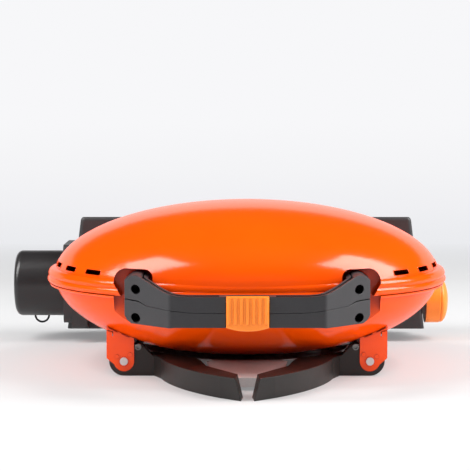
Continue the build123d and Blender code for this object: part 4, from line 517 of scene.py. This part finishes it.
def moulded(name, dark, light, roughness, grain_scale, grain_depth, edge=SOFT_EDGE, more=None):
    """Plastic, enamel or glaze with a grain in metres, and more inputs where they are given."""
    material, tree, shader, place = start_finish(name)
    tone = place_group(tree, TONE, place, Scale=MOULD_TONE_SCALE)
    grain = place_group(tree, GRAIN, place, Scale=grain_scale)
    link_tones(tree, grain.outputs["Speckle"], shader.inputs["Base Color"], dark, light)
    smoother = roughness - MOULD_SPREAD
    rougher = roughness + MOULD_SPREAD
    link_range(tree, tone.outputs["Tone"], shader.inputs["Roughness"], smoother, rougher)
    link_bump(tree, grain.outputs["Height"], shader, grain_depth, edge)
    set_inputs(shader, more or {})
    return material


HANDLE_PLASTIC = moulded(
    "charcoal_handle_plastic",
    dark=(0.020, 0.019, 0.021, 1),
    light=(0.036, 0.034, 0.037, 1),
    roughness=0.50,
    grain_scale=1100,
    grain_depth=0.00012,
)
HOUSING_PLASTIC = moulded(
    "charcoal_housing_plastic",
    dark=(0.022, 0.021, 0.022, 1),
    light=(0.040, 0.038, 0.040, 1),
    roughness=0.42,
    grain_scale=900,
    grain_depth=0.00012,
)
CAP_PLASTIC = moulded(
    "black_cap_plastic",
    dark=(0.012, 0.011, 0.011, 1),
    light=(0.022, 0.020, 0.021, 1),
    roughness=0.34,
    grain_scale=900,
    grain_depth=0.00006,
)
LEG_PLASTIC = moulded(
    "black_leg_plastic",
    dark=(0.011, 0.008, 0.007, 1),
    light=(0.024, 0.019, 0.017, 1),
    roughness=0.46,
    grain_scale=1000,
    grain_depth=0.0001,
)
RUBBER = moulded(
    "black_rubber",
    dark=(0.010, 0.010, 0.010, 1),
    light=(0.020, 0.020, 0.020, 1),
    roughness=0.75,
    grain_scale=1400,
    grain_depth=0.00012,
)
print("black plastics:", [m.name for m in (HANDLE_PLASTIC, HOUSING_PLASTIC, CAP_PLASTIC, LEG_PLASTIC)])

# %% Latch plastic
# Painted shade darkens the grooves between the latch's ribs, where the ribs shade each other.
LATCH_PAINTED_SHADE = (0.50, 0.045, 0.001, 1)
LATCH_SHADE_REACH = 0.005

LATCH_PLASTIC = moulded(
    "orange_latch_plastic",
    dark=(0.88, 0.21, 0.010, 1),
    light=(0.92, 0.25, 0.016, 1),
    roughness=0.42,
    grain_scale=900,
    grain_depth=0.00005,
    edge=0.0003,
    more={"Subsurface Weight": 0.05, "Subsurface Radius": (0.003, 0.001, 0.0004)},
)
latch_shader = LATCH_PLASTIC.node_tree.nodes["Principled BSDF"]
paint_hollow_shade(LATCH_PLASTIC.node_tree, latch_shader, LATCH_PAINTED_SHADE, LATCH_SHADE_REACH)
print("latch plastic:", LATCH_PLASTIC.name)

# %% [markdown]
# ### Metals
# The screws, the pins and the burner are steel, drawn or rolled so that faint scratches run one
# way. A scratch could be painted, but then it would need a layout of every face. Noise that is
# squeezed far more across the scratches than along them gives the same look anywhere. The
# valve and the regulator are cast zinc, which is grainy alike in all directions, and the gas
# pipe is brass.

# %% Metals
METAL_SMOOTHER = 0.08
METAL_ROUGHER = 0.10
DRAWN_DEPTH = 0.00002
CAST_DEPTH = 0.00006


def metal(name, dark, light, roughness, squeeze, depth=DRAWN_DEPTH):
    """Metal whose scratches run along the axis with the smallest squeeze."""
    material, tree, shader, place = start_finish(name)
    lines = place_group(tree, SCRATCHES, place, Squeeze=squeeze)
    link_tones(tree, lines.outputs["Streak"], shader.inputs["Base Color"], dark, light)
    smoother = roughness - METAL_SMOOTHER
    rougher = roughness + METAL_ROUGHER
    link_range(tree, lines.outputs["Streak"], shader.inputs["Roughness"], smoother, rougher)
    link_bump(tree, lines.outputs["Height"], shader, depth, SHEET_EDGE)
    set_inputs(shader, {"Metallic": 1.0})
    return material


BLACK_STEEL = metal(
    "blackened_steel",
    dark=(0.030, 0.030, 0.032, 1),
    light=(0.070, 0.070, 0.074, 1),
    roughness=0.42,
    squeeze=(700, 90, 700),
)
# The stop pins' steel is darkened as painted shade, so that their hollow ends read dark.
SHADE_DARKENED_STEEL = metal(
    "pin_steel_darkened_as_shade",
    dark=(0.16, 0.15, 0.15, 1),
    light=(0.34, 0.33, 0.32, 1),
    roughness=0.36,
    squeeze=(90, 700, 90),
)
STEEL = metal(
    "rolled_steel",
    dark=(0.50, 0.49, 0.48, 1),
    light=(0.68, 0.67, 0.66, 1),
    roughness=0.34,
    squeeze=(30, 900, 900),
)
SCREW_STEEL = metal(
    "zinc_plated_steel",
    dark=(0.60, 0.60, 0.60, 1),
    light=(0.80, 0.80, 0.79, 1),
    roughness=0.26,
    squeeze=(700, 90, 700),
)
BURNER_STEEL = metal(
    "burner_steel",
    dark=(0.36, 0.33, 0.30, 1),
    light=(0.52, 0.49, 0.46, 1),
    roughness=0.38,
    squeeze=(60, 500, 900),
)
RIVET_STEEL = metal(
    "bright_rivet_steel",
    dark=(0.80, 0.79, 0.78, 1),
    light=(0.95, 0.94, 0.93, 1),
    roughness=0.50,
    squeeze=(300, 90, 300),
)
ZINC = metal(
    "cast_zinc",
    dark=(0.45, 0.46, 0.47, 1),
    light=(0.60, 0.61, 0.62, 1),
    roughness=0.45,
    squeeze=(300, 300, 300),
    depth=CAST_DEPTH,
)
BRASS = metal(
    "drawn_brass",
    dark=(0.60, 0.40, 0.14, 1),
    light=(0.78, 0.56, 0.24, 1),
    roughness=0.28,
    squeeze=(30, 900, 900),
)
print("steels:", [m.name for m in bpy.data.materials if "steel" in m.name])

# %% [markdown]
# ### Grates, ceramic and tray
# The grates are cast iron under a baked enamel, which looks like fine wet sand, so they get a
# strong grain and a thin coat. The spark electrode sits in a glazed white ceramic. The tray is
# steel with a dip of aluminium, pale and nearly matt, so a mostly scattering surface with a
# little metal in it comes closer than a polished one.

# %% Grates, ceramic and tray
GRATE_ENAMEL = moulded(
    "black_grate_enamel",
    dark=(0.012, 0.012, 0.013, 1),
    light=(0.030, 0.029, 0.030, 1),
    roughness=0.32,
    grain_scale=600,
    grain_depth=0.0003,
    more={"Coat Weight": 0.4, "Coat Roughness": 0.22},
)
CERAMIC = moulded(
    "glazed_ceramic",
    dark=(0.78, 0.76, 0.71, 1),
    light=(0.85, 0.83, 0.79, 1),
    roughness=0.2,
    grain_scale=500,
    grain_depth=0.00002,
    more={"Coat Weight": 0.6},
)
TRAY_STEEL = moulded(
    "aluminised_steel",
    dark=(0.66, 0.63, 0.62, 1),
    light=(0.78, 0.75, 0.74, 1),
    roughness=0.46,
    grain_scale=500,
    grain_depth=0.00003,
    edge=0.0005,
    more={"Metallic": 0.25},
)
print("grates, ceramic and tray:", GRATE_ENAMEL.name, CERAMIC.name, TRAY_STEEL.name)

# %% [markdown]
# ### Dressing the solids
# Every solid keeps its place and shape and only gets a finish. One table says which, so that a
# change of material is a change of one word, and the last line tells whether any solid has
# been left bare.

# %% Give each solid its finish
FINISHES = {
    PAINT: (
        "lid_shell", "base_shell", "front_left_bracket", "front_right_bracket",
        "rear_left_bracket", "rear_right_bracket",
    ),
    HANDLE_PLASTIC: ("upper_handle", "lower_handle"),
    HOUSING_PLASTIC: ("rear_housing_lower", "rear_housing_upper", "inlet_flange"),
    CAP_PLASTIC: ("inlet_cap",),
    LEG_PLASTIC: ("left_leg", "right_leg"),
    LATCH_PLASTIC: ("latch", "control_knob"),
    TRAY_STEEL: ("grease_tray",),
    STEEL: ("tray_clips",),
    SCREW_STEEL: ("latch_pin", "hinge_pins", "valve_stem", "stem_washer"),
    RIVET_STEEL: ("pivot_rivets",),
    BLACK_STEEL: (
        "upper_handle_screws", "lower_handle_screws", "housing_screws_lower",
        "housing_screws_upper", "cap_wire_loop",
    ),
    SHADE_DARKENED_STEEL: ("left_leg_stop_pins", "right_leg_stop_pins"),
    BURNER_STEEL: ("burner_tube", "venturi_tube"),
    GRATE_ENAMEL: ("left_cooking_grate", "right_cooking_grate"),
    ZINC: ("valve_body", "regulator_body", "inlet_socket"),
    BRASS: ("gas_tube",),
    CERAMIC: ("igniter_electrode",),
    RUBBER: ("lower_rest_pads", "upper_rest_pads"),
}
for finish, names in FINISHES.items():
    for name in names:
        for material_slot in nodes[name].material_slots:
            material_slot.link = "OBJECT"
            material_slot.material = finish
undressed = set(nodes) - {name for names in FINISHES.values() for name in names}
print("solids without a finish:", sorted(undressed))

# %% [markdown]
# ## The lips of the vents
# Each vent is punched outwards, which leaves a thin rolled lip round the slot. A lip could be
# drawn by hand and copied fourteen times, but a copy would float off the curved lid at its
# ends. Geometry Nodes place one rounded outline at every vent, push all of its points onto the
# shell's own ellipsoid, and sweep a thin bead along it, so every lip follows the metal.

# %% Helpers for Geometry Nodes trees


def start_tree(name, inputs):
    """A Geometry Nodes tree with named number inputs and one geometry output."""
    tree = bpy.data.node_groups.new(name, "GeometryNodeTree")
    for label, value in inputs.items():
        kind = "NodeSocketInt" if isinstance(value, int) else "NodeSocketFloat"
        socket = tree.interface.new_socket(label, in_out="INPUT", socket_type=kind)
        socket.default_value = value
    tree.interface.new_socket("Geometry", in_out="OUTPUT", socket_type="NodeSocketGeometry")
    return tree, tree.nodes.new("NodeGroupInput").outputs, tree.nodes.new("NodeGroupOutput")


def feed(tree, socket, value):
    """Link a socket, or write a plain value into it."""
    if isinstance(value, bpy.types.NodeSocket):
        tree.links.new(value, socket)
    else:
        socket.default_value = value


def calc(tree, operation, first, second=0.0):
    """One step of arithmetic on numbers or sockets."""
    node = add_node(tree, "ShaderNodeMath", operation=operation)
    feed(tree, node.inputs[0], first)
    feed(tree, node.inputs[1], second)
    return node.outputs[0]


def vector_of(tree, x, y, z):
    """A vector from three numbers or sockets."""
    node = tree.nodes.new("ShaderNodeCombineXYZ")
    for socket, value in zip(node.inputs, (x, y, z)):
        feed(tree, socket, value)
    return node.outputs[0]


def geometry_step(tree, kind, inputs, **settings):
    """A geometry node whose inputs are linked or written by name."""
    node = add_node(tree, kind, None, **settings)
    for key, value in inputs.items():
        feed(tree, node.inputs[key], value)
    return node


def end_tree(tree, result, geometry, material):
    """Close a tree: realize the instances and give them their material."""
    real = geometry_step(tree, "GeometryNodeRealizeInstances", {"Geometry": geometry})
    smooth = geometry_step(tree, "GeometryNodeSetShadeSmooth", {"Geometry": real.outputs[0]})
    dressed = geometry_step(
        tree, "GeometryNodeSetMaterial", {"Geometry": smooth.outputs[0], "Material": material}
    )
    tree.links.new(dressed.outputs[0], result.inputs[0])


def piece_from_tree(name, tree, values, body):
    """Run a tree with these values, and keep its result as a plain mesh that rides on a body."""
    maker = new_object(name + "_maker", bpy.data.meshes.new(name + "_seed"))
    modifier = maker.modifiers.new("maker", "NODES")
    modifier.node_group = tree
    for item in tree.interface.items_tree:
        if item.in_out == "INPUT" and item.name in values:
            modifier[item.identifier] = values[item.name]
    evaluated = maker.evaluated_get(bpy.context.evaluated_depsgraph_get())
    mesh = bpy.data.meshes.new_from_object(evaluated)
    mesh.name = name
    maker.modifiers.remove(modifier)
    bpy.data.objects.remove(maker)
    piece = new_object(name, mesh)
    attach(piece, body)
    print(name, "has", len(mesh.polygons), "faces")
    return piece


# %% Tree of the vent lips
VENT_SIZES = {
    "Shell Half Width": 0.230,
    "Shell Half Depth": 0.205,
    "Shell Rise": 0.088,
    "Rim Height": 0.109,
    "Vent Height": 0.1232,
    "Pitch": math.radians(13.3),
    "Vents Per Side": 7,
    "Slot Length": 0.0275,
    "Slot Width": 0.0060,
    "Slot Corner": 0.0020,
    "Corner Points": 6,
    "Step": 0.0012,
    "Bead Radius": 0.00045,
    "Bead Sides": 8,
}


def make_vent_tree():
    """Rolled lips of the vents, on the shell's ellipsoid."""
    tree, size, result = start_tree("vent_lips", VENT_SIZES)
    per_side = size["Vents Per Side"]
    points = geometry_step(
        tree, "GeometryNodePoints", {"Count": calc(tree, "MULTIPLY", per_side, 2.0)}
    )
    number = tree.nodes.new("GeometryNodeInputIndex").outputs[0]
    side = calc(tree, "FLOOR", calc(tree, "DIVIDE", number, per_side))
    step = calc(tree, "MODULO", number, per_side)
    middle = calc(tree, "DIVIDE", calc(tree, "SUBTRACT", per_side, 1.0), 2.0)
    swing = calc(tree, "MULTIPLY", calc(tree, "SUBTRACT", step, middle), size["Pitch"])
    angle = calc(tree, "ADD", calc(tree, "MULTIPLY", side, math.pi), swing)
    across = calc(tree, "COSINE", angle)
    along = calc(tree, "SINE", angle)
    spot = vector_of(
        tree,
        calc(tree, "MULTIPLY", across, size["Shell Half Width"]),
        calc(tree, "MULTIPLY", along, size["Shell Half Depth"]),
        size["Vent Height"],
    )
    placed = geometry_step(
        tree, "GeometryNodeSetPosition", {"Geometry": points.outputs[0], "Position": spot}
    )
    facing = calc(
        tree,
        "ARCTAN2",
        calc(tree, "DIVIDE", along, size["Shell Half Depth"]),
        calc(tree, "DIVIDE", across, size["Shell Half Width"]),
    )
    turn = vector_of(tree, math.pi / 2, 0.0, calc(tree, "ADD", facing, math.pi / 2))
    outline = geometry_step(
        tree,
        "GeometryNodeCurvePrimitiveQuadrilateral",
        {"Width": size["Slot Length"], "Height": size["Slot Width"]},
    )
    rounded = geometry_step(
        tree,
        "GeometryNodeFilletCurve",
        {
            "Curve": outline.outputs[0],
            "Radius": size["Slot Corner"],
            "Count": size["Corner Points"],
        },
        mode="POLY",
    )
    lips = geometry_step(
        tree,
        "GeometryNodeInstanceOnPoints",
        {"Points": placed.outputs[0], "Instance": rounded.outputs[0], "Rotation": turn},
    )
    loose = geometry_step(tree, "GeometryNodeRealizeInstances", {"Geometry": lips.outputs[0]})
    stepped = geometry_step(
        tree,
        "GeometryNodeResampleCurve",
        {"Curve": loose.outputs[0], "Length": size["Step"]},
        mode="LENGTH",
    )
    place = tree.nodes.new("GeometryNodeInputPosition").outputs[0]
    parts = geometry_step(tree, "ShaderNodeSeparateXYZ", {0: place})
    rise = calc(tree, "SUBTRACT", parts.outputs["Z"], size["Rim Height"])
    rise_share = calc(tree, "POWER", calc(tree, "DIVIDE", rise, size["Shell Rise"]), 2.0)
    x_share = calc(
        tree, "POWER", calc(tree, "DIVIDE", parts.outputs["X"], size["Shell Half Width"]), 2.0
    )
    y_share = calc(
        tree, "POWER", calc(tree, "DIVIDE", parts.outputs["Y"], size["Shell Half Depth"]), 2.0
    )
    room = calc(tree, "SUBTRACT", 1.0, rise_share)
    plan_share = calc(tree, "ADD", x_share, y_share)
    stretch = calc(tree, "SQRT", calc(tree, "DIVIDE", room, plan_share))
    on_shell = vector_of(
        tree,
        calc(tree, "MULTIPLY", parts.outputs["X"], stretch),
        calc(tree, "MULTIPLY", parts.outputs["Y"], stretch),
        parts.outputs["Z"],
    )
    fitted = geometry_step(
        tree, "GeometryNodeSetPosition", {"Geometry": stepped.outputs[0], "Position": on_shell}
    )
    bead = geometry_step(
        tree,
        "GeometryNodeCurvePrimitiveCircle",
        {"Resolution": size["Bead Sides"], "Radius": size["Bead Radius"]},
    )
    swept = geometry_step(
        tree,
        "GeometryNodeCurveToMesh",
        {"Curve": fitted.outputs[0], "Profile Curve": bead.outputs[0]},
    )
    end_tree(tree, result, swept.outputs[0], PAINT)
    return tree


piece_from_tree("vent_lips", make_vent_tree(), VENT_SIZES, "lid")

# %% [markdown]
# ## The ports of the burner
# Gas leaves the burner through two rows of small bores along its upper side, one leaning in and
# one leaning out, and soot darkens each of them. Drilling a hundred holes would cost a heavy
# mesh that nobody sees from outside. Instead the tree walks along the burner's own loop at an
# even spacing and sets a low sooty rim, a cone with its top cut off, on the tube at each step.

# %% Tree of the burner ports
PORT_SIZES = {
    "Loop Width": 0.240,
    "Loop Depth": 0.124,
    "Loop Corner": 0.050,
    "Corner Points": 16,
    "Loop Height": 0.0517,
    "Tube Radius": 0.0080,
    "Port Radius": 0.0013,
    "Rim Radius": 0.0006,
    "Rim Rise": 0.0005,
    "Rim Sides": 12,
    "Spacing": 0.0115,
    "Lean": math.radians(48),
}
SOOT = moulded(
    "burner_soot",
    dark=(0.006, 0.005, 0.005, 1),
    light=(0.030, 0.024, 0.020, 1),
    roughness=0.8,
    grain_scale=900,
    grain_depth=0.0001,
)


def make_port_tree():
    """Two rows of sooty ports along the burner's loop."""
    tree, size, result = start_tree("burner_ports", PORT_SIZES)
    outline = geometry_step(
        tree,
        "GeometryNodeCurvePrimitiveQuadrilateral",
        {"Width": size["Loop Width"], "Height": size["Loop Depth"]},
    )
    loop = geometry_step(
        tree,
        "GeometryNodeFilletCurve",
        {
            "Curve": outline.outputs[0],
            "Radius": size["Loop Corner"],
            "Count": size["Corner Points"],
        },
        mode="POLY",
    )
    lift = vector_of(tree, 0.0, 0.0, size["Loop Height"])
    raised = geometry_step(
        tree, "GeometryNodeTransform", {"Geometry": loop.outputs[0], "Translation": lift}
    )
    walk = geometry_step(
        tree,
        "GeometryNodeCurveToPoints",
        {"Curve": raised.outputs[0], "Length": size["Spacing"]},
        mode="LENGTH",
    )
    sideways = geometry_step(
        tree,
        "ShaderNodeVectorMath",
        {0: walk.outputs["Tangent"], 1: (0.0, 0.0, 1.0)},
        operation="CROSS_PRODUCT",
    )
    port = geometry_step(
        tree,
        "GeometryNodeMeshCone",
        {
            "Vertices": size["Rim Sides"],
            "Radius Top": size["Rim Radius"],
            "Radius Bottom": size["Port Radius"],
            "Depth": size["Rim Rise"],
        },
    )
    rows = tree.nodes.new("GeometryNodeJoinGeometry")
    for side in (-1.0, 1.0):
        reach = calc(tree, "MULTIPLY", calc(tree, "SINE", size["Lean"]), side)
        lean_out = geometry_step(
            tree,
            "ShaderNodeVectorMath",
            {0: sideways.outputs[0], 3: reach},
            operation="SCALE",
        )
        up = vector_of(tree, 0.0, 0.0, calc(tree, "COSINE", size["Lean"]))
        facing = geometry_step(
            tree, "ShaderNodeVectorMath", {0: lean_out.outputs[0], 1: up}, operation="ADD"
        )
        offset = geometry_step(
            tree,
            "ShaderNodeVectorMath",
            {0: facing.outputs[0], 3: size["Tube Radius"]},
            operation="SCALE",
        )
        on_tube = geometry_step(
            tree,
            "GeometryNodeSetPosition",
            {"Geometry": walk.outputs["Points"], "Offset": offset.outputs[0]},
        )
        aimed = geometry_step(
            tree, "FunctionNodeAlignRotationToVector", {"Vector": facing.outputs[0]}, axis="Z"
        )
        row = geometry_step(
            tree,
            "GeometryNodeInstanceOnPoints",
            {
                "Points": on_tube.outputs[0],
                "Instance": port.outputs[0],
                "Rotation": aimed.outputs[0],
            },
        )
        tree.links.new(row.outputs[0], rows.inputs[0])
    end_tree(tree, result, rows.outputs[0], SOOT)
    return tree


piece_from_tree("burner_ports", make_port_tree(), PORT_SIZES, "body")
